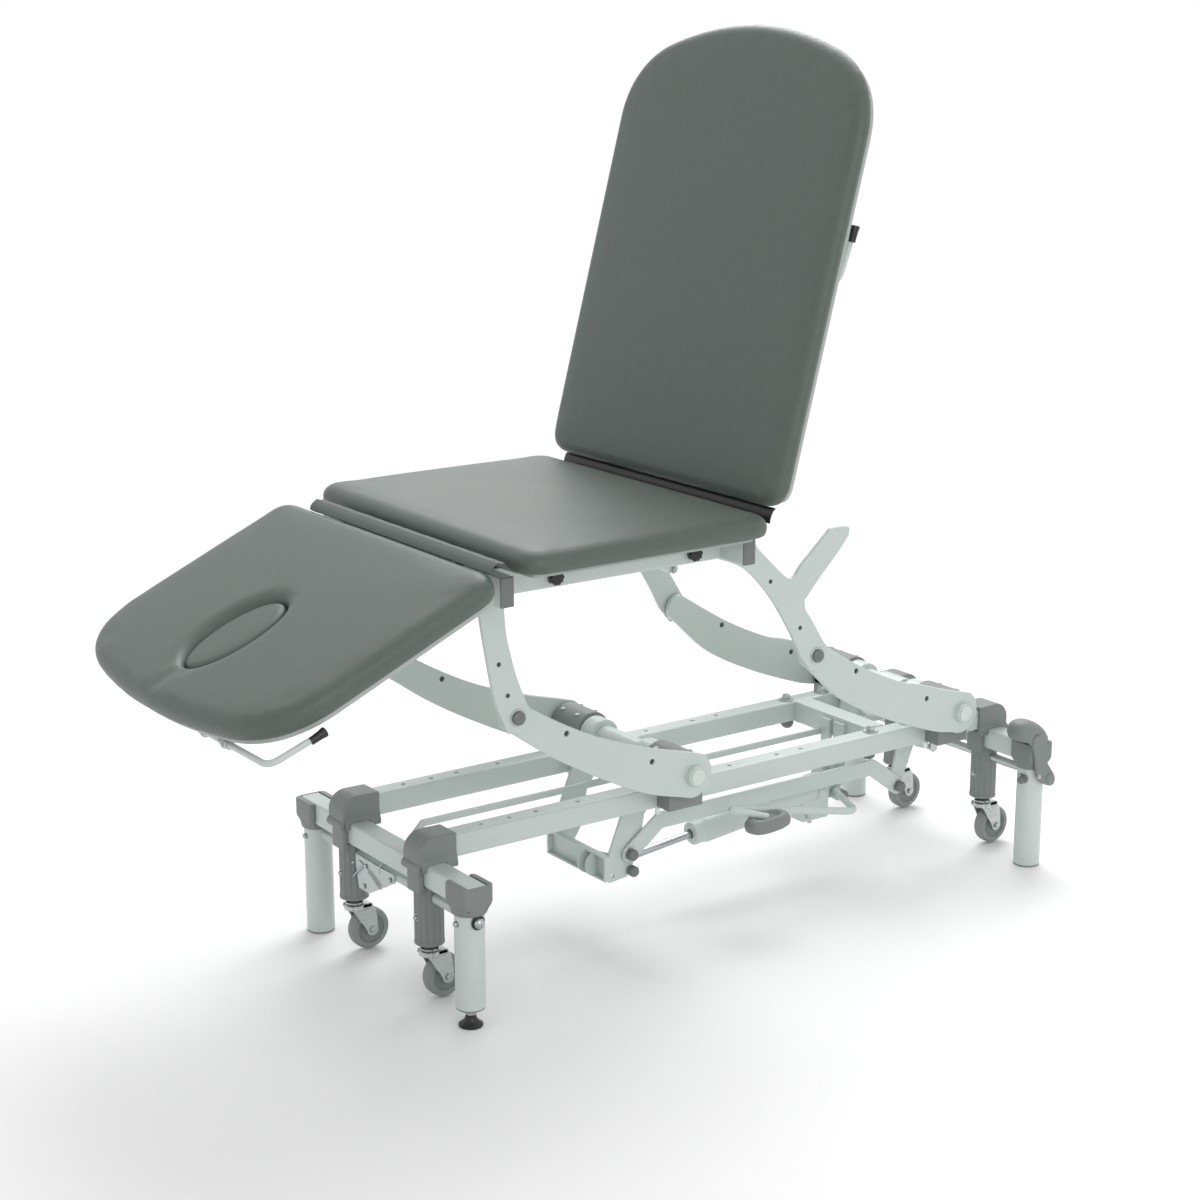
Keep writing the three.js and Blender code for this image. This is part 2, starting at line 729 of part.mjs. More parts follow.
// Places along an arm and above its pivot line, as shares of the distance between its pivots.
const headArmTopShares = [[0.78, 0.035], [0.546, 0.027], [0.295, 0.048], [0.047, 0.09]];
const headArmBottomShares = [[0.208, -0.135], [0.47, -0.133], [0.733, -0.112]];
const backArmTopShares = [[0.701, 0.027], [0.437, 0.027], [0.312, 0.048], [0.128, 0.071]];
const backArmBottomShares = [[0.139, -0.13], [0.457, -0.153], [0.75, -0.14]];
const armEndShare = 0.101; // radius of the arm's end at the base pivot
const armTipShare = 0.066; // radius at the top pivot

function armOutline(pivotX, tops, bottoms) {
  const length = Math.hypot(armRiseX, armRiseZ);
  const lift = (Math.atan2(armRiseZ, armRiseX) * 180) / Math.PI;
  const base = [pivotX, basePivotZ];
  const tip = [pivotX + armRiseX, basePivotZ + armRiseZ];
  const place = ([along, above]) => {
    const foot = polar(base, along * length, lift);
    return polar(foot, above * length, lift - 90);
  };
  return [
    ...arc(base, armEndShare * length, lift - 90 - 10, lift - 270, 7),
    ...bottoms.map(place),
    ...arc(tip, armTipShare * length, lift + 90, lift - 70, 6),
    ...tops.map(place),
  ];
}

function mirrorY(body) {
  return body.mirror([0, 1, 0]);
}

function armSet(pivotX, tops, bottoms) {
  const armY = [armOuterY - armThickness, armOuterY];
  const tip = [pivotX + armRiseX, basePivotZ + armRiseZ];
  const arm = plate(armOutline(pivotX, tops, bottoms), armY);
  const boss = bar(bossRadius, [pivotX, armOuterY - sideGap, basePivotZ],
    [pivotX, armOuterY + bossProud, basePivotZ]);
  const pinEnd = uprightInnerY + uprightThickness + 4 * sideGap;
  const pin = bar(topPinRadius, [tip[0], armY[0], tip[1]], [tip[0], pinEnd, tip[1]], smallSteps);
  const cap = bar(topCapRadius, [tip[0], uprightInnerY + uprightThickness + sideGap, tip[1]],
    [tip[0], pinEnd, tip[1]], smallSteps);
  const hub = bar(hubRadius, [pivotX, hubInnerY, basePivotZ], [pivotX, hubOuterY, basePivotZ]);
  const holes = [0.24, 0.72].map((share) => {
    const x = pivotX + share * armRiseX;
    const z = basePivotZ + share * armRiseZ;
    return bar(armHoleRadius, [x, 0, z], [x, 2 * armOuterY, z], smallSteps);
  });
  return union(cut(arm, holes), boss, pin, cap, hub);
}

function torqueTube(pivotX) {
  return bar(torqueRadius, [pivotX, -armOuterY, basePivotZ], [pivotX, armOuterY, basePivotZ],
    fineSteps);
}

const crankY = [crankPlateY, crankPlateY + crankThickness];
const couplerY = crankY[1] + sideGap; // inner face of the coupler bar, on the right side

function couplerPin(pivotX) {
  const x = pivotX + couplerPinX;
  const z = basePivotZ + couplerPinZ;
  const end = couplerY + couplerThickness + sideGap;
  return bar(couplerPinRadius, [x, -crankY[0], z], [x, -end, z], smallSteps);
}

// Corners of the head crank plate from its base pivot, as shares of the coupler pin's drop.
const headCrankShares = [
  [-0.2, 0],
  [-0.335, -0.3],
  [-0.45, -0.575],
  [-0.595, -0.93],
  [-0.67, -1.2],
  [-0.6, -1.295],
  [-0.375, -1.27],
  [-0.225, -1.03],
  [-0.14, -0.6],
  [0.177, -0.18],
  [0.2, 0],
];

{
  const pivotX = basePivotX[0];
  const crankOutline = headCrankShares.map(([across, down]) => [
    pivotX - across * couplerPinZ,
    basePivotZ - down * couplerPinZ,
  ]);
  const crank = plate(crankOutline, crankY);
  const channel = block([channelX - channelHalfWidth, channelX + channelHalfWidth],
    [-crankY[0] - sideGap, crankY[0] + sideGap], [channelBottomZ, channelTopZ]);
  const side = armSet(pivotX, headArmTopShares, headArmBottomShares);
  addPiece("lift_arm_head",
    union(torqueTube(pivotX), side, mirrorY(side), crank, mirrorY(crank), channel,
      couplerPin(pivotX)), PAINT);
}

{
  const pivotX = basePivotX[1];
  const pinAt = [pivotX + couplerPinX, basePivotZ + couplerPinZ];
  const crank = plate(linkOutline([pivotX, basePivotZ], hubRadius, pinAt, couplerEyeRadius), crankY);
  const hump = bar(humpRadius, [pivotX, lugNearY[0], basePivotZ], [pivotX, lugFarY[1], basePivotZ]);
  const side = armSet(pivotX, backArmTopShares, backArmBottomShares);
  addPiece("lift_arm_back",
    union(torqueTube(pivotX), side, mirrorY(side), crank, mirrorY(crank), hump,
      couplerPin(pivotX)), PAINT);
}

for (const [end, pivotX] of [["head", basePivotX[0]], ["back", basePivotX[1]]])
  for (const [side, sideSign] of Object.entries(SIDES)) {
    const ys = [sideSign * saddleInnerY, sideSign * saddleOuterY];
    const cap = plate([
      [pivotX - saddleHalfWidth, railTopZ + seatingGap],
      [pivotX + saddleHalfWidth, railTopZ + seatingGap],
      ...arc([pivotX, basePivotZ], saddleRadius, 0, 180, 8),
    ], ys);
    const claw = block([pivotX - saddleHalfWidth, pivotX + saddleHalfWidth],
      [sideSign * (railOuterY + seatingGap), sideSign * saddleOuterY],
      [saddleClawZ, basePivotZ]);
    const bore = bar(boreRadius(torqueRadius, fineSteps), [pivotX, -armOuterY, basePivotZ],
      [pivotX, armOuterY, basePivotZ], fineSteps);
    addPiece("bearing_saddle_" + end + "_" + side, cut(union(cap, claw), bore), PLASTIC);
  }

// Coupler bar that keeps both cranks in step

{
  const y = [-couplerY, -couplerY - couplerThickness];
  const [headPin, backPin] = basePivotX.map((x) => [x + couplerPinX, basePivotZ + couplerPinZ]);
  const middleZ = couplerTopZ - couplerHeight / 2;
  const half = couplerHeight / 2;
  const headBend = [couplerBendHeadX, middleZ];
  const backBend = [couplerBendBackX, middleZ];
  const body = union(
    plate(linkOutline(headPin, couplerEyeRadius, headBend, half), y),
    plate(linkOutline(headBend, half, backBend, half), y),
    plate(linkOutline(backBend, half, backPin, couplerEyeRadius), y),
  );
  const holes = [headPin, backPin].map(([x, z]) => bar(boreRadius(couplerPinRadius),
    [x, y[0] + half, z], [x, y[1] - half, z], smallSteps));
  addPiece("coupler_bar", cut(body, holes), PAINT);
}

// Pump: cylinder, piston rod and pedal

const rodSlope = (Math.atan2(pumpPivotZ - rodPinZ, pumpPivotX - rodPinX) * 180) / Math.PI;

// A point on the pump's axis at a place along X.
function onPumpAxis(x) {
  const z = pumpPivotZ + (x - pumpPivotX) * Math.tan((rodSlope * Math.PI) / 180);
  return [x, pumpY, z];
}

{
  const front = onPumpAxis(pumpFrontX);
  const shoulder = onPumpAxis(pumpFrontX + pumpRadius);
  const back = onPumpAxis(pumpBackX);
  const barrel = bar(pumpRadius, shoulder, back, fineSteps);
  const nose = bar(pumpNoseRadius, front, onPumpAxis(pumpFrontX + 2 * pumpRadius), fineSteps);
  const chamber = block(pumpBlockX, [pumpY - pumpBlockHalfWidth, pumpY + pumpBlockHalfWidth],
    [pumpBlockBottomZ, pumpPivotZ]);
  const pivot = [pumpPivotX, pumpPivotZ];
  const cheekSpans = [
    [lugNearY[0] - sideGap - pumpForkCheek, lugNearY[0] - sideGap],
    [lugNearY[1] + sideGap, lugNearY[1] + sideGap + pumpForkCheek],
  ];
  const cheeks = cheekSpans.map((ys) => plate(linkOutline([back[0] - pumpForkRadius, back[2]],
    pumpForkRadius, pivot, pumpForkRadius), ys));
  const backWall = block([back[0] - pumpForkRadius, back[0] - sideGap],
    [pumpY, cheekSpans[1][0] + 2 * sideGap],
    [back[2] - pumpForkRadius * 0.8, back[2] + pumpForkRadius * 0.8]);
  const pinHole = bar(boreRadius(pumpPinRadius), [pivot[0], -railY, pivot[1]],
    [pivot[0], railY, pivot[1]], smallSteps);
  const rodBore = bar(boreRadius(rodRadius), onPumpAxis(rodPinX),
    onPumpAxis(pumpBackX - pumpBackWall), smallSteps);
  const bossY = [cheekSpans[0][0] + sideGap, cheekSpans[0][1] + sideGap];
  const pedalPin = bar(pedalPivotRadius, [pedalPivotX, bossY[1] - sideGap, pedalPivotZ],
    [pedalPivotX, cheekSpans[0][0] - 3 * pedalTubeRadius, pedalPivotZ], smallSteps);
  const pedalBoss = block([pumpBlockX[1] - pumpRadius, pedalPivotX + pedalPivotRadius * 1.2], bossY,
    [pedalPivotZ - pedalPivotRadius * 1.2, pedalPivotZ + pedalPivotRadius * 1.2]);
  addPiece("pump_cylinder",
    cut(union(barrel, nose, chamber, cheeks, backWall, pedalBoss, pedalPin), pinHole, rodBore),
    PAINT);
}

{
  const eye = onPumpAxis(rodPinX);
  const rod = bar(rodRadius, eye, onPumpAxis(rodInnerX), smallSteps);
  const ends = [[eye[0], pumpY - rodEyeHalfWidth, eye[2]], [eye[0], pumpY + rodEyeHalfWidth, eye[2]]];
  const ring = bar(rodEyeRadius, ...ends);
  const hole = bar(boreRadius(pumpPinRadius), [eye[0], -railY, eye[2]], [eye[0], railY, eye[2]],
    smallSteps);
  addPiece("piston_rod", cut(union(rod, ring), hole), CHROME);
}

{
  const hubY = [lugNearY[0] - 2 * sideGap - pumpForkCheek - 2 * pedalTubeRadius,
    lugNearY[0] - 2 * sideGap - pumpForkCheek];
  const start = [pedalPivotX, hubY[0], pedalPivotZ];
  const hub = bar(pedalTubeRadius * 2, [pedalPivotX, hubY[0], pedalPivotZ],
    [pedalPivotX, hubY[1], pedalPivotZ], smallSteps);
  const bore = bar(boreRadius(pedalPivotRadius), [pedalPivotX, hubY[1] - 3 * pedalTubeRadius,
    pedalPivotZ], [pedalPivotX, 0, pedalPivotZ], smallSteps);
  const route = [
    [start[0] - pedalTubeRadius, hubY[0] + pedalTubeRadius, start[2] + pedalTubeRadius],
    [pedalBendX, pedalBendY, pedalBendZ],
    [pedalFrontX, pedalFrontY, pedalFrontZ],
    [footPadX, footPadY, footPadZ + footPadHeight / 2],
  ];
  const tube = bentBar(pedalTubeRadius, route, 22, 3 * pedalTubeRadius);
  const pad = ovalPad([footPadX, footPadY, footPadZ - footPadHeight / 2], footPadLength,
    footPadWidth, footPadHeight);
  addPiece("pump_pedal", union(cut(union(hub, tube), bore), pad), PAINT);
}

// Upper frame: side tubes, cross tubes, uprights, hinge eyes and strut feet

const headUprightShares = [
  [-0.174, 0.45],
  [-0.16, 0.361],
  [-0.141, 0.255],
  [-0.122, 0.153],
  [-0.103, 0.075],
  [-0.075, 0.005],
  [-0.041, -0.063],
  [0.048, 0.043],
  [0.0, 0.166],
  [-0.028, 0.262],
  [-0.051, 0.37],
  [-0.063, 0.54],
  [-0.18, 0.54],
];

const backUprightShares = [
  [-0.545, 0.56],
  [-0.545, 0.505],
  [-0.459, 0.471],
  [-0.399, 0.436],
  [-0.34, 0.381],
  [-0.286, 0.321],
  [-0.23, 0.247],
  [-0.147, 0.115],
  [-0.089, 0.005],
  [-0.024, -0.072],
  [0.047, 0.042],
  [-0.031, 0.163],
  [-0.068, 0.217],
  [-0.076, 0.257],
  [-0.01, 0.33],
  [0.11, 0.45],
  [0.167, 0.515],
  [0.16, 0.552],
  [0.062, 0.558],
  [-0.029, 0.478],
  [-0.095, 0.421],
  [-0.132, 0.377],
  [-0.166, 0.368],
  [-0.228, 0.417],
  [-0.342, 0.526],
  [-0.36, 0.56],
];

function upright(pivotX, shares) {
  const length = Math.hypot(armRiseX, armRiseZ);
  const tip = [pivotX + armRiseX, basePivotZ + armRiseZ];
  const outline = shares.map(([x, z]) => [tip[0] + x * length, tip[1] + z * length]);
  const ys = [uprightInnerY, uprightInnerY + uprightThickness];
  const body = union(plate(outline, ys), plate(arc(tip, armTipShare * length, 0, 330, 11), ys));
  const bore = bar(boreRadius(topPinRadius), [tip[0], 0, tip[1]], [tip[0], 2 * upperEndY, tip[1]],
    smallSteps);
  return cut(body, bore);
}

// Two ears on the frame and one eye between them make each hinge.
function hingeEars(x, reachTo) {
  const ears = [-1, 1].flatMap((s) => [-1, 1].map((t) => {
    const middle = s * hingeY + t * (hingeWidth / 2 + sideGap + hingeWidth / 4);
    const span = [middle - hingeWidth / 4, middle + hingeWidth / 4];
    return plate(linkOutline([x, hingeZ], hingeEyeRadius, [reachTo, upperTubeTopZ
      - hingeEyeRadius], hingeEyeRadius), span);
  }));
  const pins = [-1, 1].map((s) => {
    const half = hingeWidth + sideGap;
    return bar(hingePinRadius, [x, s * hingeY - half, hingeZ], [x, s * hingeY + half, hingeZ],
      smallSteps);
  });
  return union(ears, pins);
}

function strutFoot([x, z], tubeX) {
  const held = [tubeX, upperTubeBottomZ + strutEyeRadius];
  const cheeks = [-1, 1].map((s) => {
    const inner = s * (strutHalfEye + sideGap);
    return plate(linkOutline([x, z], strutEyeRadius, held, strutEyeRadius),
      [inner, inner + s * strutCheek]);
  });
  const half = strutHalfEye + sideGap + strutCheek;
  const pin = bar(strutPinRadius, [x, -half, z], [x, half, z], smallSteps);
  return union(cheeks, pin);
}

{
  const crossHalf = upperTubeWidth / 2;
  const zs = [upperTubeBottomZ, upperTubeTopZ];
  const armRooms = [-1, 1].map((s) => bar(hingeArmRoom,
    [headHingeX, s * hingeY - hingeWidth / 2 - sideGap, hingeZ],
    [headHingeX, s * hingeY + hingeWidth / 2 + sideGap, hingeZ]));
  const cross = [headCrossX, backCrossX].map((x) => cut(block([x - crossHalf, x + crossHalf],
    [-upperEndY, upperEndY], zs), armRooms));
  const sides = [-1, 1].map((s) => block([headCrossX, backCrossX],
    [s * sideTubeY - crossHalf, s * sideTubeY + crossHalf], zs));
  const uprights = [
    upright(basePivotX[0], headUprightShares),
    upright(basePivotX[1], backUprightShares),
  ];
  const knobs = knobX.flatMap((x) => [-1, 1].map((s) => {
    const face = s * (sideTubeY + crossHalf);
    return bar(knobRadius, [x, face - s * sideGap, knobZ], [x, face + s * knobReach, knobZ],
      smallSteps);
  }));
  const frame = union(cross, sides, uprights, uprights.map(mirrorY), knobs,
    hingeEars(headHingeX, headCrossX), hingeEars(backHingeX, backCrossX),
    strutFoot(backStrutFoot, backCrossX), strutFoot(headStrutFoot, headCrossX));
  addPiece("upper_frame", frame, PAINT);
}

// Cushions and boards are made flat: the hinge edge at x = 0, the top at z = 0 and the rest at +x

const degree = Math.PI / 180;

// The head cushion lies towards -X and slopes down; the back cushion lies towards +X and rises.
const HEAD = { turn: 180, pitch: -headSlope, at: [headEdgeX, 0, headEdgeZ] };
const BACK = { turn: 0, pitch: -backSlope, at: [backEdgeX, 0, backEdgeZ] };
const SEAT = { turn: 0, pitch: 0, at: [seatLeftX, 0, seatTopZ] };

function setUp(body, { turn, pitch, at }) {
  return body.rotate([0, 0, turn]).rotate([0, pitch, 0]).translate(at);
}

// A place in a section's own plane, [along, height], from a place [x, z] on the couch.
function inSection([x, z], { turn, pitch, at }) {
  const dx = x - at[0];
  const dz = z - at[2];
  const angle = -pitch * degree;
  const along = dx * Math.cos(angle) + dz * Math.sin(angle);
  const height = dz * Math.cos(angle) - dx * Math.sin(angle);
  return [turn ? -along : along, height];
}

// Which way a section's own y runs: a section that is turned half round counts it the other way.
function sideOf(section) {
  return section.turn ? -1 : 1;
}

// The cushion's plan: square to the hinge, with rounded corners and a bowed free end. The length
// is measured to the middle of the bow, so that the sides end earlier.
function slabShape(length, halfWidth, nearCorner, farCorner, bow) {
  const sideX = length - bow;
  const farY = halfWidth - farCorner;
  const farX = sideX + bow * (1 - (farY / halfWidth) ** 2);
  const bowControl = farX + 2 * bow * (farY / halfWidth) ** 2;
  return new THREE.Shape()
    .moveTo(0, -halfWidth + nearCorner)
    .quadraticCurveTo(0, -halfWidth, nearCorner, -halfWidth)
    .lineTo(sideX - farCorner, -halfWidth)
    .quadraticCurveTo(sideX, -halfWidth, farX, -farY)
    .quadraticCurveTo(bowControl, 0, farX, farY)
    .quadraticCurveTo(sideX, halfWidth, sideX - farCorner, halfWidth)
    .lineTo(nearCorner, halfWidth)
    .quadraticCurveTo(0, halfWidth, 0, halfWidth - nearCorner)
    .lineTo(0, -halfWidth + nearCorner);
}

// The plan's outline drawn in by a length along its own normals.
function drawnIn(outline, inset) {
  const count = outline.length;
  return outline.map((point, i) => {
    const along = outline[(i + 1) % count].clone().sub(outline[(i + count - 1) % count]);
    const inward = new THREE.Vector2(-along.y, along.x).setLength(inset || 1);
    return inset ? point.clone().add(inward) : point.clone();
  });
}

// Rings of a cushion: a share of the way out from the middle, then inset and height.
function cushionRings(thickness) {
  const edge = cushionEdgeRadius;
  const round = [0, 30, 60, 90].map((angle) => [
    1,
    edge * (1 - Math.cos(angle * degree)),
    -cushionCrown - edge + edge * Math.sin(angle * degree),
  ]);
  const crownShares = [[0.86, 0.4], [0.6, 0.1]];
  return [
    [0, 0, -thickness],
    [1, cushionTuck, -thickness],
    [1, cushionTuck / 3, -thickness + cushionTuck],
    ...round,
    ...crownShares.map(([share, fall]) => [share, edge, -cushionCrown * fall]),
    [0, edge, 0],
  ];
}

// A lathe's columns and rings are moved onto the plan's outline, which keeps it one closed skin.
function softSlab(shape, thickness, around) {
  const outline = shape.getSpacedPoints(around).slice(0, -1);
  const middle = outline.reduce((sum, p) => sum.add(p), new THREE.Vector2())
    .divideScalar(outline.length);
  const rings = cushionRings(thickness);
  const points = rings.map(([share, , height]) => new THREE.Vector2(share, height));
  const geometry = new THREE.LatheGeometry(points, outline.length);
  const place = geometry.attributes.position;
  rings.forEach(([share, inset, height], ring) => {
    const line = drawnIn(outline, inset);
    for (let column = 0; column <= outline.length; column += 1) {
      const at = middle.clone().lerp(line[column % outline.length], share);
      place.setXYZ(column * rings.length + ring, at.x, at.y, height);
    }
  });
  return solid(geometry);
}

function boardUnder(shape, thickness) {
  const outline = drawnIn(shape.getSpacedPoints(boardRimSteps).slice(0, -1), boardInset);
  const settings = { depth: boardThickness, bevelEnabled: false };
  const board = solid(new THREE.ExtrudeGeometry(new THREE.Shape(outline), settings));
  return board.translate([0, 0, -thickness - seatingGap - boardThickness]);
}

// An oval bar that stands through a slab, as wide as the face opening less an allowance.
function faceOval(less, low, high, flare = 0) {
  const lip = -cushionEdgeRadius / 2;
  const sizeX = faceHoleLength / 2 - less;
  const sizeY = faceHoleWidth / 2 - less;
  const profile = [[0, low], [1, low], [1, high], [0, high]];
  if (flare) profile.splice(2, 1, [1, lip], [1 + flare / 3, lip / 3], [1 + flare, high]);
  return turned([0, 0], profile, ovalSteps).scale([sizeX, sizeY, 1]).translate([faceHoleAlong, 0, 0]);
}

const seatShape = slabShape(seatRightX - seatLeftX, cushionHalfWidth, seatCornerRadius,
  seatCornerRadius, 0);
const headShape = slabShape(headLength, cushionHalfWidth, seatCornerRadius, headCornerRadius,
  headEndBow);
const backShape = slabShape(backLength, backHalfWidth, seatCornerRadius, backCornerRadius,
  backEndBow);

// Blocks that make room for the hinges at one edge of the seat cushion
function hingeRooms(x0, x1) {
  const half = hingeWidth + 2 * sideGap;
  const reach = hingeEyeRadius + sideGap;
  return [-1, 1].map((s) => block([x0, x1], [s * hingeY - half, s * hingeY + half],
    [upperTubeBottomZ, hingeZ + reach]));
}

{
  const cushion = setUp(softSlab(seatShape, seatThickness, seatRimSteps), SEAT);
  const board = setUp(boardUnder(seatShape, seatThickness - seatingGap - sideGap), SEAT);
  const reach = hingeEyeRadius + sideGap;
  const rooms = [
    ...hingeRooms(seatLeftX - reach, headHingeX + reach),
    ...hingeRooms(backCrossX - reach, seatRightX + reach),
  ];
  addPiece("seat_cushion", cut(union(cushion, board), rooms), VINYL);
}

{
  const cushion = softSlab(headShape, cushionThickness, longRimSteps);
  const hole = faceOval(0, -2 * cushionThickness, cushionCrown, faceHoleFlare);
  addPiece("head_cushion", setUp(cut(cushion, hole), HEAD), VINYL);
  const plug = faceOval(plugGap, -cushionThickness, -plugDrop);
  const crown = turned([0, 0], [[0, -plugDrop - sideGap], [0.9, -plugDrop - sideGap],
    [0.6, -plugDrop + sideGap], [0, -plugDrop + 2 * sideGap]], ovalSteps)
    .scale([faceHoleLength / 2 - plugGap, faceHoleWidth / 2 - plugGap, 1])
    .translate([faceHoleAlong, 0, 0]);
  addPiece("face_plug", setUp(union(plug, crown), HEAD), VINYL);
  addPiece("back_cushion", setUp(softSlab(backShape, backThickness, longRimSteps), BACK), VINYL);
}

// An arm from the hinge axis to a beam, both drawn in the section's own plane
function sectionArms(section, hinge, beamZ) {
  const [along, height] = inSection(hinge, section);
  const start = [beamStart + hingeArmReach, beamZ];
  return [-1, 1].flatMap((s) => {
    const ys = [s * hingeY - hingeWidth / 2, s * hingeY + hingeWidth / 2];
    const arm = plate(linkOutline([along, height], hingeEyeRadius, start, hingeArmRadius), ys);
    const bore = bar(boreRadius(hingePinRadius), [along, ys[0] - hingeWidth, height],
      [along, ys[1] + hingeWidth, height], smallSteps);
    return [cut(arm, bore)];
  });
}

function strutBracket([along, height], boardZ) {
  const half = strutHalfEye + strutBracketGap / 2;
  return [-1, 1].map((s) => plate(linkOutline([along, height], strutEyeRadius,
    [along, boardZ + strutEyeRadius / 2], strutEyeRadius),
    [s * half, s * (half + strutCheek)]).intersect(block([along - beamWidth, along + beamWidth],
    [-2 * half, 2 * half], [height - beamWidth, boardZ])));
}

function leverBrackets(section, along, boardZ) {
  return leverBracketY.map((place) => {
    const y = sideOf(section) * place;
    const ys = [y - leverBracketThickness, y];
    return plate(linkOutline([along, -leverDrop], leverBracketRadius,
      [along, boardZ + leverBracketRadius / 2], leverBracketRadius), ys)
      .intersect(block([along - beamWidth, along + beamWidth], ys, [-2 * leverDrop, boardZ]));
  });
}

function panel({ name, section, shape, thickness, length, hinge, strutEye, leverAlong, hole }) {
  const boardZ = -thickness - seatingGap - boardThickness;
  const touch = boardZ + boardThickness / 2;
  const zs = [boardZ - beamHeight, touch];
  const beams = [-1, 1].map((s) => block([beamStart, length * beamEndShare],
    [s * beamHalfY - beamWidth / 2, s * beamHalfY + beamWidth / 2], zs));
  const crossEnd = hingeY + hingeWidth / 2;
  const crossBars = [-1, 1].map((s) => block([beamStart, beamStart + beamWidth],
    [s * strutRoomY, s * crossEnd], zs));
  const fittings = union(beams, crossBars, leverBrackets(section, leverAlong, touch),
    strutBracket(strutEye, touch));
  const leverBore = bar(boreRadius(leverRadius), [leverAlong, -cushionHalfWidth, -leverDrop],
    [leverAlong, cushionHalfWidth, -leverDrop], smallSteps);
  const cushionRoom = block([-sideGap, length], [-crossEnd, crossEnd],
    [-thickness - seatingGap, thickness]);
  const arms = sectionArms(section, hinge, boardZ - beamHeight / 2);
  const body = union(boardUnder(shape, thickness), cut(fittings, leverBore),
    cut(union(arms), cushionRoom));
  addPiece(name, setUp(cut(body, hole), section), COATED_BOARD);
}

const headHinge = [headHingeX, hingeZ];
const backHinge = [backHingeX, hingeZ];
const headEye = polar(headHinge, headStrutCrank, headStrutCrankAngle + headSlope);
const backEye = polar(backHinge, backStrutCrank, backStrutCrankAngle + backSlope);
const faceLedge = faceOval(faceHoleLedge, -2 * cushionThickness, 0);

panel({
  name: "head_panel",
  section: HEAD,
  shape: headShape,
  thickness: cushionThickness,
  length: headLength,
  hinge: headHinge,
  strutEye: inSection(headEye, HEAD),
  leverAlong: leverAlongHead,
  hole: [faceLedge],
});
panel({
  name: "back_panel",
  section: BACK,
  shape: backShape,
  thickness: backThickness,
  length: backLength,
  hinge: backHinge,
  strutEye: inSection(backEye, BACK),
  leverAlong: leverAlongBack,
  hole: [],
});

// Release levers on their cross rods

function releaseLever(name, section, along, direction, outerY) {
  const out = sideOf(section);
  const end = [along + direction * leverReach, out * (outerY - leverSplay), -leverDrop];
  const middleX = along + direction * (leverReach - leverTipLength / 2);
  const rod = bentBar(leverRadius, [[along, out * leverInnerY, -leverDrop],
    [along, out * outerY, -leverDrop], end], 14, 3 * leverRadius);
  const tip = solid(new THREE.CylinderGeometry(leverTipRadius, leverRadius * 1.2, leverTipLength,
    smallSteps).rotateZ(-direction * Math.PI / 2).translate(middleX, end[1], -leverDrop));
  addPiece(name, setUp(union(rod, tip), section), PAINT);
}

releaseLever("head_release_lever", HEAD, leverAlongHead, -1, leverOuterY.head);
releaseLever("back_release_lever", BACK, leverAlongBack, 1, leverOuterY.back);

// Gas struts between the upper frame and the two sections

function strut(name, foot, eye, tubeLength, rodLength) {
  const reach = Math.hypot(eye[0] - foot[0], eye[1] - foot[1]);
  const pitch = -Math.atan2(eye[1] - foot[1], eye[0] - foot[0]) / degree;
  const stand = (body) => body.rotate([0, pitch, 0]).translate([foot[0], 0, foot[1]]);
  const eyeAt = (x) => bar(strutEyeRadius, [x, -strutHalfEye, 0], [x, strutHalfEye, 0]);
  const holeAt = (x) => bar(boreRadius(strutPinRadius), [x, -2 * strutHalfEye, 0],
    [x, 2 * strutHalfEye, 0], smallSteps);
  const tube = bar(strutRadius, [strutBoreStart - strutEyeRadius / 2, 0, 0], [tubeLength, 0, 0]);
  const bore = bar(boreRadius(strutRodRadius), [strutBoreStart, 0, 0], [2 * tubeLength, 0, 0],
    smallSteps);
  addPiece(name + "_tube", stand(cut(union(eyeAt(0), tube), holeAt(0), bore)), BLACK);
  const rod = bar(strutRodRadius, [reach - rodLength, 0, 0], [reach, 0, 0], smallSteps);
  addPiece(name + "_rod", stand(cut(union(eyeAt(reach), rod), holeAt(reach))), CHROME);
}

strut("head_strut", headStrutFoot, headEye, headStrutTube, headStrutRod);
strut("back_strut", backStrutFoot, backEye, backStrutTube, backStrutRod);

// The part's origin is the middle of its footprint, on the floor.
const reached = new THREE.Box3().setFromObject(couch);
couch.position.x = -(reached.min.x + reached.max.x) / 2;

export default couch;
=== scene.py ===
# %% [markdown]
# # A treatment couch, dressed in Blender
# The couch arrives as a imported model: every pivot, tube and cushion already has its size and
# its place. This script adds what a model of its workings leaves out: soft vinyl, powder coat,
# moulded plastic, screws, nuts and rounded edges. Large pieces take their place from the packed
# model's boxes. Small ones are placed in metres from the middle of the base, as the photograph
# shows them, on the piece that carries them.

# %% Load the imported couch
import math

import bmesh
import bpy
from mathutils import Matrix, Vector


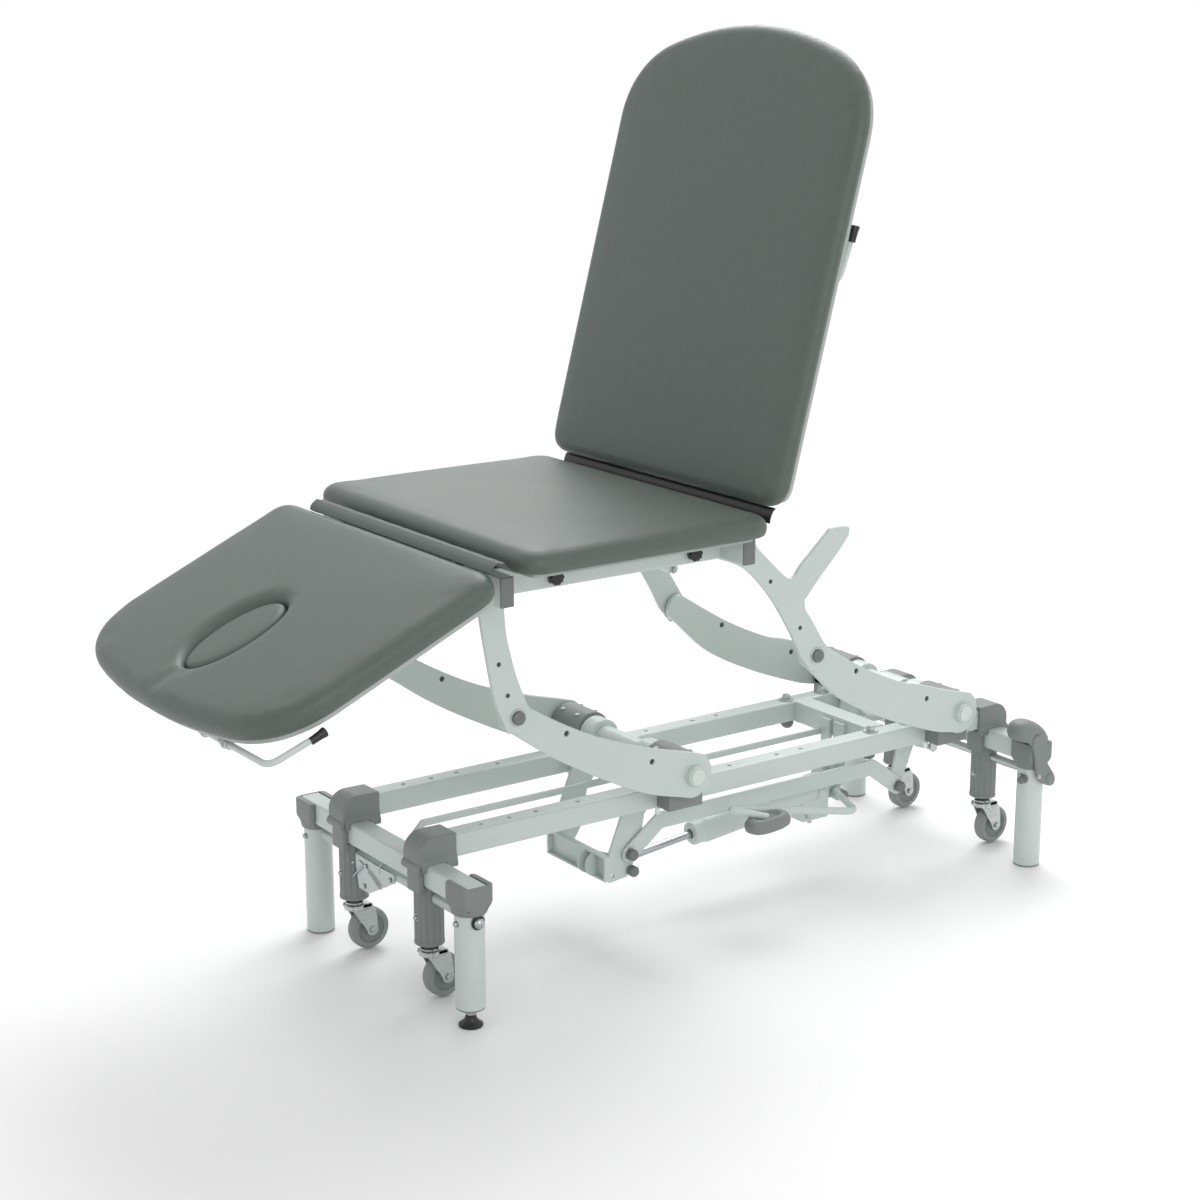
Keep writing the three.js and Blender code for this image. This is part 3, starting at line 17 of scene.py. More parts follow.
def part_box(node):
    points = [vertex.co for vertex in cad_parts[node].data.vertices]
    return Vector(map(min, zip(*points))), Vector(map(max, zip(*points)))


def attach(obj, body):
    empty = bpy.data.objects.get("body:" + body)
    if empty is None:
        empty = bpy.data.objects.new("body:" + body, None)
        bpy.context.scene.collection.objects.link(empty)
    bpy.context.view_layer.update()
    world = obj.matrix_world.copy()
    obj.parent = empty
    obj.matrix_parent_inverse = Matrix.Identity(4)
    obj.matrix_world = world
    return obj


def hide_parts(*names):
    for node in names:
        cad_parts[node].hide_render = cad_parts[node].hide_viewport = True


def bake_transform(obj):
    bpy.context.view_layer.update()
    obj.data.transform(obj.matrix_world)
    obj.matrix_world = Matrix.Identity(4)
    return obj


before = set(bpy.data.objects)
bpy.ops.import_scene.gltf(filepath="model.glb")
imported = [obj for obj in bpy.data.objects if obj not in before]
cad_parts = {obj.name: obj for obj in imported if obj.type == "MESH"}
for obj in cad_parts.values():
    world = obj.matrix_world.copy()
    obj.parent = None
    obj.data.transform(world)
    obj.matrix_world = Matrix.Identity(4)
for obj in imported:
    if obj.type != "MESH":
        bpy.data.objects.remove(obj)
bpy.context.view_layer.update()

# %% [markdown]
# The base is symmetrical about its four legs, so its middle is the best place to measure from.
# Positions below are given along the couch from that middle, across it, and up from the floor.

# %% Find the middle of the base
def box_middle(node):
    low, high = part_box(node)
    return (low + high) / 2


head_leg = box_middle("leg_head_right")
back_leg = box_middle("leg_back_right")
MIDDLE = (head_leg.x + back_leg.x) / 2
LEG_SPAN = (back_leg.x - head_leg.x) / 2  # from the middle to a cross tube
LEG_SIDE = -head_leg.y
ENDS = (("head", -1), ("back", 1))
SIDES = (("right", -1), ("left", 1))
CORNERS = [(end, side, sx, sy) for end, sx in ENDS for side, sy in SIDES]
UP, ACROSS = Vector((0, 0, 1)), Vector((0, 1, 0))


def at(x, y, z):
    return Vector((x + MIDDLE, y, z))


print("middle of the base", round(MIDDLE, 4), "leg span", round(LEG_SPAN, 4))

# %% [markdown]
# ## The camera
# The photograph is taken from the head end, a little above seat height, with a fairly long
# lens, so that the rails stay nearly parallel. A long lens from far away keeps the proportions
# that the maker drew; a wide lens up close would swell the head rest.

# %% Place the camera
def configure(thing, **settings):
    """Sets several properties at once."""
    for name, value in settings.items():
        setattr(thing, name, value)
    return thing


def linked(name, data):
    """A new object for some data, put in the scene."""
    obj = bpy.data.objects.new(name, data)
    bpy.context.scene.collection.objects.link(obj)
    return obj


CAMERA_AZIMUTH = math.radians(-35.49)
CAMERA_ELEVATION = math.radians(14.57)
CAMERA_PLACE = Vector((MIDDLE - 2.6255, -3.394, 1.7042))
LENS = 70.9  # on a sensor 36 mm wide

back_x = math.sin(CAMERA_AZIMUTH) * math.cos(CAMERA_ELEVATION)
back_y = -math.cos(CAMERA_AZIMUTH) * math.cos(CAMERA_ELEVATION)
looking_back = Vector((back_x, back_y, math.sin(CAMERA_ELEVATION)))

camera = linked("Camera", bpy.data.cameras.new("Camera"))
configure(camera.data, lens=LENS, sensor_width=36, clip_end=60)
camera.location = CAMERA_PLACE
camera.rotation_mode = "QUATERNION"
camera.rotation_quaternion = (-looking_back).to_track_quat("-Z", "Y")
bpy.context.scene.camera = camera
print("camera", [round(v, 2) for v in camera.location])

# %% [markdown]
# ## Floor, sky and lamps
# The couch stands on a white studio floor that runs out into a white background. The floor is
# an ordinary pale surface near the couch, so that it keeps the soft shadow, and it turns into
# plain white further out. That change is made in the floor's material with the Light Path node,
# for what the camera and reflections see, so that it throws no extra light on the couch.

# %% Make the studio floor
FLOOR_HALF = 14
FLOOR_CLEAR_FROM = 1.7  # where the plain white begins to take over
FLOOR_CLEAR_TO = 3.4


def new_material(name):
    """An empty material with its shader and output; nodes are added by the caller."""
    material = bpy.data.materials.new(name)
    material.use_nodes = True
    tree = material.node_tree
    return material, tree, tree.nodes["Principled BSDF"]


def feed(tree, node, inputs):
    """Gives a node's inputs their values, or links them to other nodes' outputs."""
    for name, value in inputs.items():
        if isinstance(value, bpy.types.NodeSocket):
            tree.links.new(value, node.inputs[name])
        else:
            node.inputs[name].default_value = value


def new_node(tree, kind, inputs=None, **settings):
    node = configure(tree.nodes.new("ShaderNode" + kind), **settings)
    feed(tree, node, inputs or {})
    return node


def math_node(tree, operation, first, second):
    return new_node(tree, "Math", {0: first, 1: second}, operation=operation).outputs[0]


def seen_directly(tree):
    """1 for what the camera, a reflection or a pane of glass looks at, and 0 for the light."""
    path = new_node(tree, "LightPath")
    seen = math_node(tree, "MAXIMUM", path.outputs["Is Camera Ray"], path.outputs["Is Glossy Ray"])
    return math_node(tree, "MAXIMUM", seen, path.outputs["Is Transmission Ray"])


def floor_material():
    material, tree, shader = new_material("studio floor")
    feed(tree, shader, {"Base Color": (0.93, 0.93, 0.93, 1), "Roughness": 0.9,
                        "Specular IOR Level": 0})
    place = new_node(tree, "NewGeometry").outputs["Position"]
    length = new_node(tree, "VectorMath", {0: place}, operation="LENGTH").outputs["Value"]
    ramp = new_node(tree, "MapRange", {"Value": length, "From Min": FLOOR_CLEAR_FROM,
                                       "From Max": FLOOR_CLEAR_TO},
                    interpolation_type="SMOOTHSTEP")
    share = math_node(tree, "MULTIPLY", ramp.outputs["Result"], seen_directly(tree))
    white = new_node(tree, "Emission").outputs[0]
    mix = new_node(tree, "MixShader", {"Fac": share, 1: shader.outputs[0], 2: white})
    feed(tree, tree.nodes["Material Output"], {"Surface": mix.outputs[0]})
    return material


floor_mesh = bpy.data.meshes.new("studio_floor")
floor_corners = [(-1, -1), (1, -1), (1, 1), (-1, 1)]
floor_mesh.from_pydata([(x * FLOOR_HALF, y * FLOOR_HALF, 0) for x, y in floor_corners], [],
                       [(0, 1, 2, 3)])
floor = linked("studio_floor", floor_mesh)
floor_mesh.materials.append(floor_material())
print("floor", 2 * FLOOR_HALF, "m wide")

# %% [markdown]
# One large soft lamp hangs above and behind the couch, as in a light tent, and a weak one
# fills from the front. A big lamp gives the wide soft shadow in front of the couch and the pale
# tops of the tubes, while faces that look at the camera stay a shade darker.

# %% Hang the lamps
def soft_lamp(name, place, size, power):
    data = bpy.data.lights.new(name, "AREA")
    lamp = linked(name, configure(data, shape="SQUARE", size=size, energy=power))
    lamp.location = place
    lamp.rotation_mode = "QUATERNION"
    aim = Vector((0.1, 0, 0.6))
    lamp.rotation_quaternion = (aim - lamp.location).to_track_quat("-Z", "Y")
    return lamp


soft_lamp("roof lamp", (2.0, 2.0, 4.0), 3.2, 150)
soft_lamp("side lamp", (-1.0, -4.6, 2.6), 2.4, 45)

world = bpy.data.worlds.new("studio")
bpy.context.scene.world = world
world.use_nodes = True
world_tree = world.node_tree
sky = world_tree.nodes["Background"]
SKY_LIGHT = 0.74
sky_level = math_node(world_tree, "MULTIPLY", seen_directly(world_tree), 1 - SKY_LIGHT)
sky_level = math_node(world_tree, "ADD", sky_level, SKY_LIGHT)
feed(world_tree, sky, {"Strength": sky_level, "Color": (1, 1, 1, 1)})
bpy.context.scene.view_settings.view_transform = "Standard"

# %% [markdown]
# ## Shader groups for the finishes
# Three effects come back in many finishes, so each is built once as a node group. The first
# drifts a colour and its gloss a little over a surface, as handling, dust and uneven coating
# do. The second gives the height of a fine texture: the orange peel of powder coat, the spark
# texture of moulded plastic, or leather grain. The third finds edges with the Pointiness of
# the mesh's corners and lightens them, partly as paint rubbed thin and partly as a painted
# highlight along each edge.

# %% Group: drifting colour and gloss
def new_group(name, inputs, outputs):
    group = bpy.data.node_groups.new(name, "ShaderNodeTree")
    for kind, sockets in (("INPUT", inputs), ("OUTPUT", outputs)):
        for label, (socket_type, value) in sockets.items():
            socket = group.interface.new_socket(name=label, in_out=kind, socket_type=socket_type)
            if value is not None:
                socket.default_value = value
    start = group.nodes.new("NodeGroupInput")
    end = group.nodes.new("NodeGroupOutput")
    return group, start, end


FLOAT, COLOUR = "NodeSocketFloat", "NodeSocketColor"


def object_noise(tree, scale, detail=3.0):
    """Noise in object space, which keeps its size on every piece."""
    place = new_node(tree, "TexCoord").outputs["Object"]
    return new_node(tree, "TexNoise", {"Detail": detail, "Vector": place,
                                       "Scale": scale}).outputs["Fac"]


def drift_group():
    group, start, end = new_group(
        "Drifting finish",
        {"Colour": (COLOUR, (0.5, 0.5, 0.5, 1)), "Drift": (FLOAT, 0.05), "Scale": (FLOAT, 6.0),
         "Roughness": (FLOAT, 0.5), "Gloss drift": (FLOAT, 0.1)},
        {"Colour": (COLOUR, None), "Roughness": (FLOAT, None)})
    centred = math_node(group, "SUBTRACT", object_noise(group, start.outputs["Scale"]), 0.5)
    shade = math_node(group, "MULTIPLY", centred, start.outputs["Drift"])
    shade = math_node(group, "MULTIPLY", shade, 2.0)
    shift = new_node(group, "HueSaturation", {"Value": math_node(group, "ADD", shade, 1.0),
                                              "Color": start.outputs["Colour"]})
    gloss = math_node(group, "MULTIPLY", centred, start.outputs["Gloss drift"])
    gloss = math_node(group, "ADD", gloss, start.outputs["Roughness"])
    feed(group, end, {"Colour": shift.outputs["Color"], "Roughness": gloss})
    return group


DRIFT = drift_group()
print("group", DRIFT.name, [s.name for s in DRIFT.interface.items_tree])

# %% Group: fine surface texture
def texture_group():
    group, start, end = new_group(
        "Fine texture",
        {"Pebble scale": (FLOAT, 900.0), "Cloud scale": (FLOAT, 400.0), "Pebbles": (FLOAT, 0.5)},
        {"Height": (FLOAT, None)})
    place = new_node(group, "TexCoord").outputs["Object"]
    pebbles = new_node(group, "TexVoronoi", {"Vector": place,
                                             "Scale": start.outputs["Pebble scale"]},
                       feature="SMOOTH_F1")
    clouds = object_noise(group, start.outputs["Cloud scale"], 2.0)
    grain = math_node(group, "MULTIPLY", pebbles.outputs["Distance"], start.outputs["Pebbles"])
    rest = math_node(group, "SUBTRACT", 1.0, start.outputs["Pebbles"])
    soft = math_node(group, "MULTIPLY", clouds, rest)
    feed(group, end, {"Height": math_node(group, "ADD", grain, soft)})
    return group


TEXTURE = texture_group()
print("group", TEXTURE.name)

# %% Group: rubbed edges with a painted highlight
def edge_wear_and_highlight_group():
    group, start, end = new_group(
        "Rubbed edges and painted highlight",
        {"Colour": (COLOUR, (0.5, 0.5, 0.5, 1)), "Edge wear and highlight colour": (COLOUR, (1, 1, 1, 1)),
         "Amount": (FLOAT, 0.2)},
        {"Colour": (COLOUR, None)})
    # Edges are lightened partly as rubbed wear and partly as a painted highlight.
    shape = new_node(group, "NewGeometry").outputs["Pointiness"]
    reach = new_node(group, "MapRange", {"From Min": 0.52, "From Max": 0.62, "Value": shape})
    amount = math_node(group, "MULTIPLY", reach.outputs["Result"], object_noise(group, 60.0))
    amount = math_node(group, "MULTIPLY", amount, start.outputs["Amount"])
    mix = new_node(group, "Mix", {"Factor": amount, "A": start.outputs["Colour"],
                                  "B": start.outputs["Edge wear and highlight colour"]}, data_type="RGBA")
    feed(group, end, {"Colour": mix.outputs["Result"]})
    return group


EDGE_WEAR_AND_HIGHLIGHT = edge_wear_and_highlight_group()
print("group", EDGE_WEAR_AND_HIGHLIGHT.name)

# %% [markdown]
# ## The finishes
# Every finish is the same short recipe with its own values: a colour that drifts, edges that
# are a little lighter or darker, partly as rubbed wear and partly as a painted highlight, and a
# bump from the fine texture. What makes them differ is mostly roughness and grain size: powder
# coat is smooth with a faint orange peel, moulded plastic is dull and sandy, chrome is nearly a
# mirror, and zinc plate is a soft grey metal.

# %% A recipe for a finish
def srgb(code):
    """A colour written as six hex digits, turned into the linear values that shaders use."""
    parts = [int(code[i:i + 2], 16) / 255 for i in (0, 2, 4)]
    linear = [p / 12.92 if p <= 0.04045 else ((p + 0.055) / 1.055) ** 2.4 for p in parts]
    return (*linear, 1)


EDGE_WEAR_AND_HIGHLIGHT_AMOUNT = 0.3


def finish(name, colour, roughness, drift=0.05, gloss_drift=0.1, scale=6.0, metallic=0.0,
           edge=None, pebble_scale=900.0, cloud_scale=400.0, pebbles=0.3, bump=0.05,
           depth=0.0002, coat=0.0):
    material, tree, shader = new_material(name)
    drifting = new_node(tree, "Group", {
        "Colour": srgb(colour), "Drift": drift, "Scale": scale, "Roughness": roughness,
        "Gloss drift": gloss_drift}, node_tree=DRIFT)
    # The lighter edge colour is partly wear and partly a painted highlight.
    edge_wear_and_highlight = new_node(tree, "Group", {
        "Edge wear and highlight colour": srgb(edge or colour), "Amount": EDGE_WEAR_AND_HIGHLIGHT_AMOUNT if edge else 0.0,
        "Colour": drifting.outputs["Colour"]}, node_tree=EDGE_WEAR_AND_HIGHLIGHT)
    grain = new_node(tree, "Group", {
        "Pebble scale": pebble_scale, "Cloud scale": cloud_scale, "Pebbles": pebbles},
        node_tree=TEXTURE)
    relief = new_node(tree, "Bump", {"Strength": bump, "Distance": depth,
                                     "Height": grain.outputs["Height"]})
    feed(tree, shader, {
        "Base Color": edge_wear_and_highlight.outputs["Colour"], "Roughness": drifting.outputs["Roughness"],
        "Normal": relief.outputs["Normal"], "Metallic": metallic})
    if coat:
        feed(tree, shader, {"Coat Weight": coat, "Coat Roughness": 0.12})
    return material


# %% Powder coat, plastics, rubber and metals
# Each edge colour is lighter than its finish: partly rubbed wear, partly a painted highlight.
PAINT = finish("powder coat", "BFC9C5", 0.34, drift=0.025, gloss_drift=0.12,
               edge="E4EAE7", cloud_scale=260.0, pebbles=0.0, bump=0.10, depth=0.0003, coat=0.15)
MOULDED = finish("moulded grey plastic", "7B817F", 0.50, drift=0.04,
                 edge="8C9290", pebble_scale=1400.0, pebbles=0.6, bump=0.16, depth=0.0002)
BLACK = finish("black plastic", "161817", 0.38, drift=0.08, edge="3A3D3B",
               pebble_scale=1500.0, pebbles=0.5, bump=0.08)
CAP_GREY = finish("grey pin caps", "6B706F", 0.4, drift=0.05, edge="8A908E",
                  pebble_scale=1300.0, bump=0.08)
TYRE = finish("grey tyre rubber", "868C8B", 0.62, drift=0.06, edge="8E9493",
              pebble_scale=700.0, pebbles=0.4, bump=0.15)
CHROME = finish("chrome", "AEB4B5", 0.12, drift=0.02, gloss_drift=0.05, metallic=1.0,
                bump=0.02)
ZINC = finish("zinc plate", "B9BEBC", 0.3, drift=0.08, gloss_drift=0.2, scale=40.0,
              metallic=0.75, edge="DADEDC", cloud_scale=300.0, pebbles=0.1, bump=0.06)
BOARD = finish("coated board", "A9AFAC", 0.55, drift=0.05, edge="C4C9C6",
               pebble_scale=600.0, pebbles=0.2, bump=0.08)
# A dark fill for the inside of holes: painted shade where light does not reach.
BORE_SHADE = finish("shaded bore", "3C4240", 0.7, drift=0.05)

# %% [markdown]
# ## Building rigid pieces
# Nearly every rigid piece of the couch is one of three things: something turned on a lathe, a
# plate cut to an outline, or a bar bent along a path. Each gets one helper that adds its shell
# to a mesh, and a piece is a list of such shells. A Bevel modifier then rounds the corners, as
# real castings and cut plates have, and lets each edge catch a line of light.

# %% Lathe, plate, block and bent bar
def ring_faces(bm, low, high):
    """Joins two rings of vertices; a ring of one vertex is a tip."""
    count = max(len(low), len(high))
    for i in range(count):
        a, b = low[i % len(low)], low[(i + 1) % len(low)]
        c, d = high[(i + 1) % len(high)], high[i % len(high)]
        corners = list(dict.fromkeys((a, b, c, d)))
        if len(corners) > 2:
            bm.faces.new(corners)


def turns(steps):
    """Angles evenly round one turn."""
    return [2 * math.pi * i / steps for i in range(steps)]


def stack(rings):
    """A closed shell through rings of points, shut by its first and its last ring."""
    rings = list(rings)

    def build(bm):
        rows = [[bm.verts.new(point) for point in ring] for ring in rings]
        for low, high in zip(rows, rows[1:]):
            ring_faces(bm, low, high)
        bm.faces.new(rows[0])
        bm.faces.new(rows[-1])
    return build


def lathe(profile, start, end, steps=40, closed=False):
    """A turned shell from (radius, distance from start) points along the line start to end."""
    start, end = Vector(start), Vector(end)
    turn = (end - start).to_track_quat("Z", "Y").to_matrix().to_4x4()
    place = Matrix.Translation(start) @ turn

    def build(bm):
        rings = []
        for radius, along in profile:
            points = [Vector((radius * math.cos(a), radius * math.sin(a), along))
                      for a in turns(steps if radius else 1)]
            rings.append([bm.verts.new(place @ p) for p in points])
        for low, high in zip(rings, rings[1:]):
            ring_faces(bm, low, high)
        if closed:
            ring_faces(bm, rings[-1], rings[0])
    return build


def rod(radius, start, end, edge=0.0008, steps=32):
    """A round bar with its two rims broken."""
    length = (Vector(end) - Vector(start)).length
    inner = radius - edge
    return lathe([(0, 0), (inner, 0), (radius, edge), (radius, length - edge), (inner, length),
                  (0, length)], start, end, steps)


def plate(outline, y0, y1):
    """An outline of (x, z) points, already in the couch's own place, made thick along y."""
    return stack([(x, y, z) for x, z in outline] for y in sorted((y0, y1)))


def block(low, high):
    xs, ys, zs = ((min(a, b), max(a, b)) for a, b in zip(low, high))
    return plate([(xs[0], zs[0]), (xs[1], zs[0]), (xs[1], zs[1]), (xs[0], zs[1])], *ys)


def rounded_path(points, corner, steps=7):
    """The path's corners turned into short curves."""
    points = [Vector(p) for p in points]
    path = [points[0]]
    for before, bend, after in zip(points, points[1:], points[2:]):
        reach = min(corner, (before - bend).length / 2, (after - bend).length / 2)
        start = bend + (before - bend).normalized() * reach
        end = bend + (after - bend).normalized() * reach
        for i in range(steps + 1):
            t = i / steps
            path.append(start * (1 - t) ** 2 + bend * 2 * t * (1 - t) + end * t * t)
    path.append(points[-1])
    return path


def bent_bar(radius, points, corner, steps=20, cap=0.0008):
    """A round bar along a path. The ring is carried along without twist."""
    path = rounded_path(points, corner)
    direction = (path[1] - path[0]).normalized()
    side = direction.orthogonal().normalized()
    rings = []
    last = len(path) - 1
    for i, place in enumerate(path):
        ahead = (path[min(i + 1, last)] - path[max(i - 1, 0)]).normalized()
        side = direction.rotation_difference(ahead) @ side
        direction = ahead
        other = direction.cross(side)
        sizes = [(radius, place)]
        if i == 0:
            sizes = [(radius - cap, place - direction * cap), (radius, place)]
        elif i == last:
            sizes = [(radius, place), (radius - cap, place + direction * cap)]
        rings += [[middle + (side * math.cos(a) + other * math.sin(a)) * size
                   for a in turns(steps)] for size, middle in sizes]
    return stack(rings)


print("helpers: lathe, rod, plate, block, bent bar")

# %% Turn shells into a piece that rides on a body
def new_object(name, *shells):
    mesh = bpy.data.meshes.new(name)
    bm = bmesh.new()
    for shell in shells:
        shell(bm)
    bmesh.ops.recalc_face_normals(bm, faces=bm.faces)
    bm.to_mesh(mesh)
    bm.free()
    return linked(name, mesh)


def piece(name, body, material, *shells, soft=0.0, replaces=(), segments=2, angle=32):
    obj = new_object(name, *shells)
    obj.data.shade_smooth()
    obj.data.materials.append(material)
    if soft:
        round_edges(obj, soft, segments, angle)
    else:
        obj.data.set_sharp_from_angle(angle=math.radians(angle))
    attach(obj, body)
    if replaces:
        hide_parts(*replaces)
    return obj


def round_edges(obj, width, segments=2, angle=32):
    configure(obj.modifiers.new("Rounded edges", "BEVEL"), width=width, segments=segments,
              limit_method="ANGLE", angle_limit=math.radians(angle), use_clamp_overlap=True)
    configure(obj.modifiers.new("Even shading", "WEIGHTED_NORMAL"), keep_sharp=True, weight=80)


def bake(obj):
    """Puts what an object's modifiers make in the place of its mesh."""
    bpy.context.view_layer.update()
    seen = obj.evaluated_get(bpy.context.evaluated_depsgraph_get())
    made = bpy.data.meshes.new_from_object(seen)
    made.name = obj.data.name
    obj.data = made


def drill(obj, *shells):
    """Cuts shells out of a piece, as a drill or a saw would, before its edges are rounded."""
    tool = new_object(obj.name + "_drill", *shells)
    kept = [(m.name, m.show_viewport) for m in obj.modifiers]
    for modifier in obj.modifiers:
        modifier.show_viewport = False
    cut = configure(obj.modifiers.new("Cut", "BOOLEAN"), object=tool, solver="EXACT",
                    use_self=True)
    bake(obj)
    obj.modifiers.remove(cut)
    for name, shown in kept:
        obj.modifiers[name].show_viewport = shown
    bpy.data.objects.remove(tool)
    return obj


# %% [markdown]
# Some CAD nodes already have the right shape, such as the square tubes with their holes. They
# stay, because nothing is gained by drawing them twice: their triangles are melted into flat
# faces by modifiers, and their edges are rounded like those of the other pieces.

# %% Keep a CAD node and finish it
def only_material(obj, material):
    obj.data.materials.clear()
    obj.data.materials.append(material)
    obj.data.polygons.foreach_set("material_index", [0] * len(obj.data.polygons))


def keep(node, material, soft):
    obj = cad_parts[node]
    only_material(obj, material)
    custom = obj.data.attributes.get("custom_normal")
    if custom:
        obj.data.attributes.remove(custom)
    obj.data.shade_smooth()
    configure(obj.modifiers.new("Weld", "WELD"), merge_threshold=0.00002)
    configure(obj.modifiers.new("Flat faces", "DECIMATE"), decimate_type="DISSOLVE",
              angle_limit=math.radians(0.6))
    round_edges(obj, soft)


for end, _ in ENDS:
    keep("cross_tube_" + end, PAINT, 0.002)
for side, _ in SIDES:
    keep("rail_" + side, PAINT, 0.002)
keep("cross_member", PAINT, 0.0015)
print("kept tubes", [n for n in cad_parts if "tube_" in n or n.startswith("rail_r")])

# %% [markdown]
# ## Legs and their caps
# A leg is a plain tube with a plastic plug pressed into its lower end, which shows as a thin
# dark line. Its top is held by a moulded cap: round below, where it grips the leg, and square
# above, where the end of the cross tube lies in it like a box in a tray.

# %% Legs
LEG_RADIUS = (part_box("leg_back_right")[1].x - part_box("leg_back_right")[0].x) / 2
PLUG_HEIGHT = 0.0025


def leg(name, node, x, y):
    low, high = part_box(node)
    foot = Vector((x, y, low.z))
    height = high.z - low.z
    r = LEG_RADIUS
    tube = [(0, PLUG_HEIGHT), (r - 0.0012, PLUG_HEIGHT), (r, PLUG_HEIGHT + 0.0012), (r, height),
            (0, height)]
    piece("leg_tube_" + name, "base", PAINT, lathe(tube, foot, foot + UP, 56),
          replaces=[node])
    plug = [(0, 0), (r - 0.0016, 0), (r - 0.0006, 0.0008), (r - 0.0006, PLUG_HEIGHT + 0.001),
            (0, PLUG_HEIGHT + 0.001)]
    piece("leg_plug_" + name, "base", MOULDED, lathe(plug, foot, foot + UP, 48))


for end, side, sx, sy in CORNERS:
    place = at(sx * LEG_SPAN, sy * LEG_SIDE, 0)
    leg(f"{end}_{side}", f"leg_{end}_{side}", place.x, place.y)
print("leg radius", round(LEG_RADIUS, 4))

# %% Caps on the legs
CAP_STEP_Z = 0.222  # where the round grip turns into the square tray
CAP_TOP_Z = 0.2586  # just over the cross tube's top


def standing(plan, z0, z1, x=0.0, y=0.0):
    """A plan of (x, y) points made tall."""
    return stack([(x + px, y + py, z) for px, py in plan] for z in (z0, z1))


def leg_cap(name, node, sy):
    low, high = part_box(node)
    x = (low.x + high.x) / 2
    half = (high.x - low.x) / 2
    y = sy * LEG_SIDE
    round_ring = [(half * math.cos(a), half * math.sin(a)) for a in turns(72)]

    def boxy(share):
        """The round grip's plan, drawn out by a share towards the square tray's."""
        plan = []
        for px, py in round_ring:
            reach = half / max(abs(px), abs(py), 1e-6)
            corner = min(reach, 1.30)
            plan.append((px * (1 + share * (corner - 1)), py * (1 + share * (corner - 1))))
        return plan

    levels = [(low.z, 0.0, 0.955), (low.z + 0.002, 0.0, 1.0), (CAP_STEP_Z - 0.014, 0.0, 1.0),
              (CAP_STEP_Z - 0.006, 0.35, 1.0), (CAP_STEP_Z, 0.8, 1.0),
              (CAP_STEP_Z + 0.006, 1.0, 1.0), (CAP_TOP_Z - 0.002, 1.0, 1.0),
              (CAP_TOP_Z, 1.0, 0.97)]
    shell = stack([(x + px * size, y + sy * py * size, z) for px, py in boxy(share)]
                  for z, share, size in levels)
    cap = piece("leg_cap_" + name, "base", MOULDED, shell, replaces=[node], soft=0.0012,
                angle=40)
    tube_low, tube_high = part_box("cross_tube_head")
    wide = (tube_high.x - tube_low.x) / 2 + 0.0002
    room = block((x - wide, y - sy * 0.06, tube_low.z - 0.0002),
                 (x + wide, sy * (tube_high.y + 0.0002), high.z + 0.01))
    drill(cap, room)


for end, side, sx, sy in CORNERS:
    leg_cap(f"{end}_{side}", f"leg_collar_{end}_{side}", sy)
print("leg caps done")

# %% [markdown]
# ## Nuts and bolts
# A fastener sells the scale of a machine better than any texture. A hexagon head with a
# chamfer, a washer under it and a domed cap nut are all the kinds that the couch needs, and
# each is built round the line that it would be screwed along.

# %% Hexagon heads, washers and dome nuts
def hex_head(size, height, start, direction):
    """A six-sided head whose top corners are chamfered round, size across its corners."""
    start, direction = Vector(start), Vector(direction).normalized()
    side = direction.orthogonal().normalized()
    other = direction.cross(side)
    corners = [side * math.cos(a) + other * math.sin(a) for a in turns(6)]
    return stack([start + direction * along + corner * radius for corner in corners]
                 for radius, along in ((size / 2, 0), (size / 2, height * 0.78),
                                       (size / 2 * 0.84, height)))


def washer(radius, thickness, start, direction):
    start, direction = Vector(start), Vector(direction).normalized()
    rim = thickness * 0.3
    return lathe([(0, 0), (radius - rim, 0), (radius, rim), (radius, thickness - rim),
                  (radius - rim, thickness), (0, thickness)], start, start + direction, 32)


def dome(radius, height, start, direction, skirt=0.0):
    """A dome on a short straight skirt, from its edge to its tip."""
    start, direction = Vector(start), Vector(direction).normalized()
    arc = [(radius * math.cos(a), skirt + height * math.sin(a))
           for a in (math.pi / 2 * k / 7 for k in range(8))]
    arc[-1] = (0, skirt + height)
    return lathe([(0, 0), (radius, 0), *arc], start, start + direction, 32)


def bolt(size, height, rim, thickness, place, direction):
    """The shells of a hexagon head and of the washer under it."""
    place, direction = Vector(place), Vector(direction)
    return [washer(rim, thickness, place, direction),
            hex_head(size, height, place + direction * thickness, direction)]


BRIGHT = finish("bright nuts", "E6EAE9", 0.28, drift=0.02, metallic=0.35, bump=0.03)
print("fasteners ready")

# %% Bolts and bumpers on the rails
RAIL_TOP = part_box("rail_right")[1].z
RAIL_SIDE = abs(box_middle("rail_right").y)
MEMBER_BOLTS = (0.350, 0.443)  # along the couch, either side of the cross member's ends
BUMPER_X = 0.350
RAIL_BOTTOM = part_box("rail_right")[0].z

for side, sy in SIDES:
    for number, x in enumerate(MEMBER_BOLTS):
        piece(f"rail_bolt_{side}_{number}", "base", ZINC,
              *bolt(0.019, 0.0095, 0.01482, 0.00247,
                    at(x, sy * (RAIL_SIDE - 0.002), RAIL_TOP), UP))
    bumper = at(BUMPER_X, sy * (RAIL_SIDE - 0.006), RAIL_BOTTOM)
    piece(f"rail_bumper_{side}", "base", CAP_GREY,
          dome(0.0135, 0.0125, bumper, (0, 0, -1), 0.004))
print("rail bolts at", MEMBER_BOLTS)

# %% Hoods over the rail ends
HOOD_INNER, HOOD_OUTER = 0.0423, 0.0340  # from the cross tube's middle
HOOD_HALF, HOOD_TOP = 0.027, 0.3075


def arc_points(middle, radius, start, end, steps):
    """Points of an arc in the (x, z) plane, angles in degrees."""
    angles = [math.radians(start + (end - start) * i / steps) for i in range(steps + 1)]
    return [(middle[0] + radius * math.cos(a), middle[1] + radius * math.sin(a)) for a in angles]


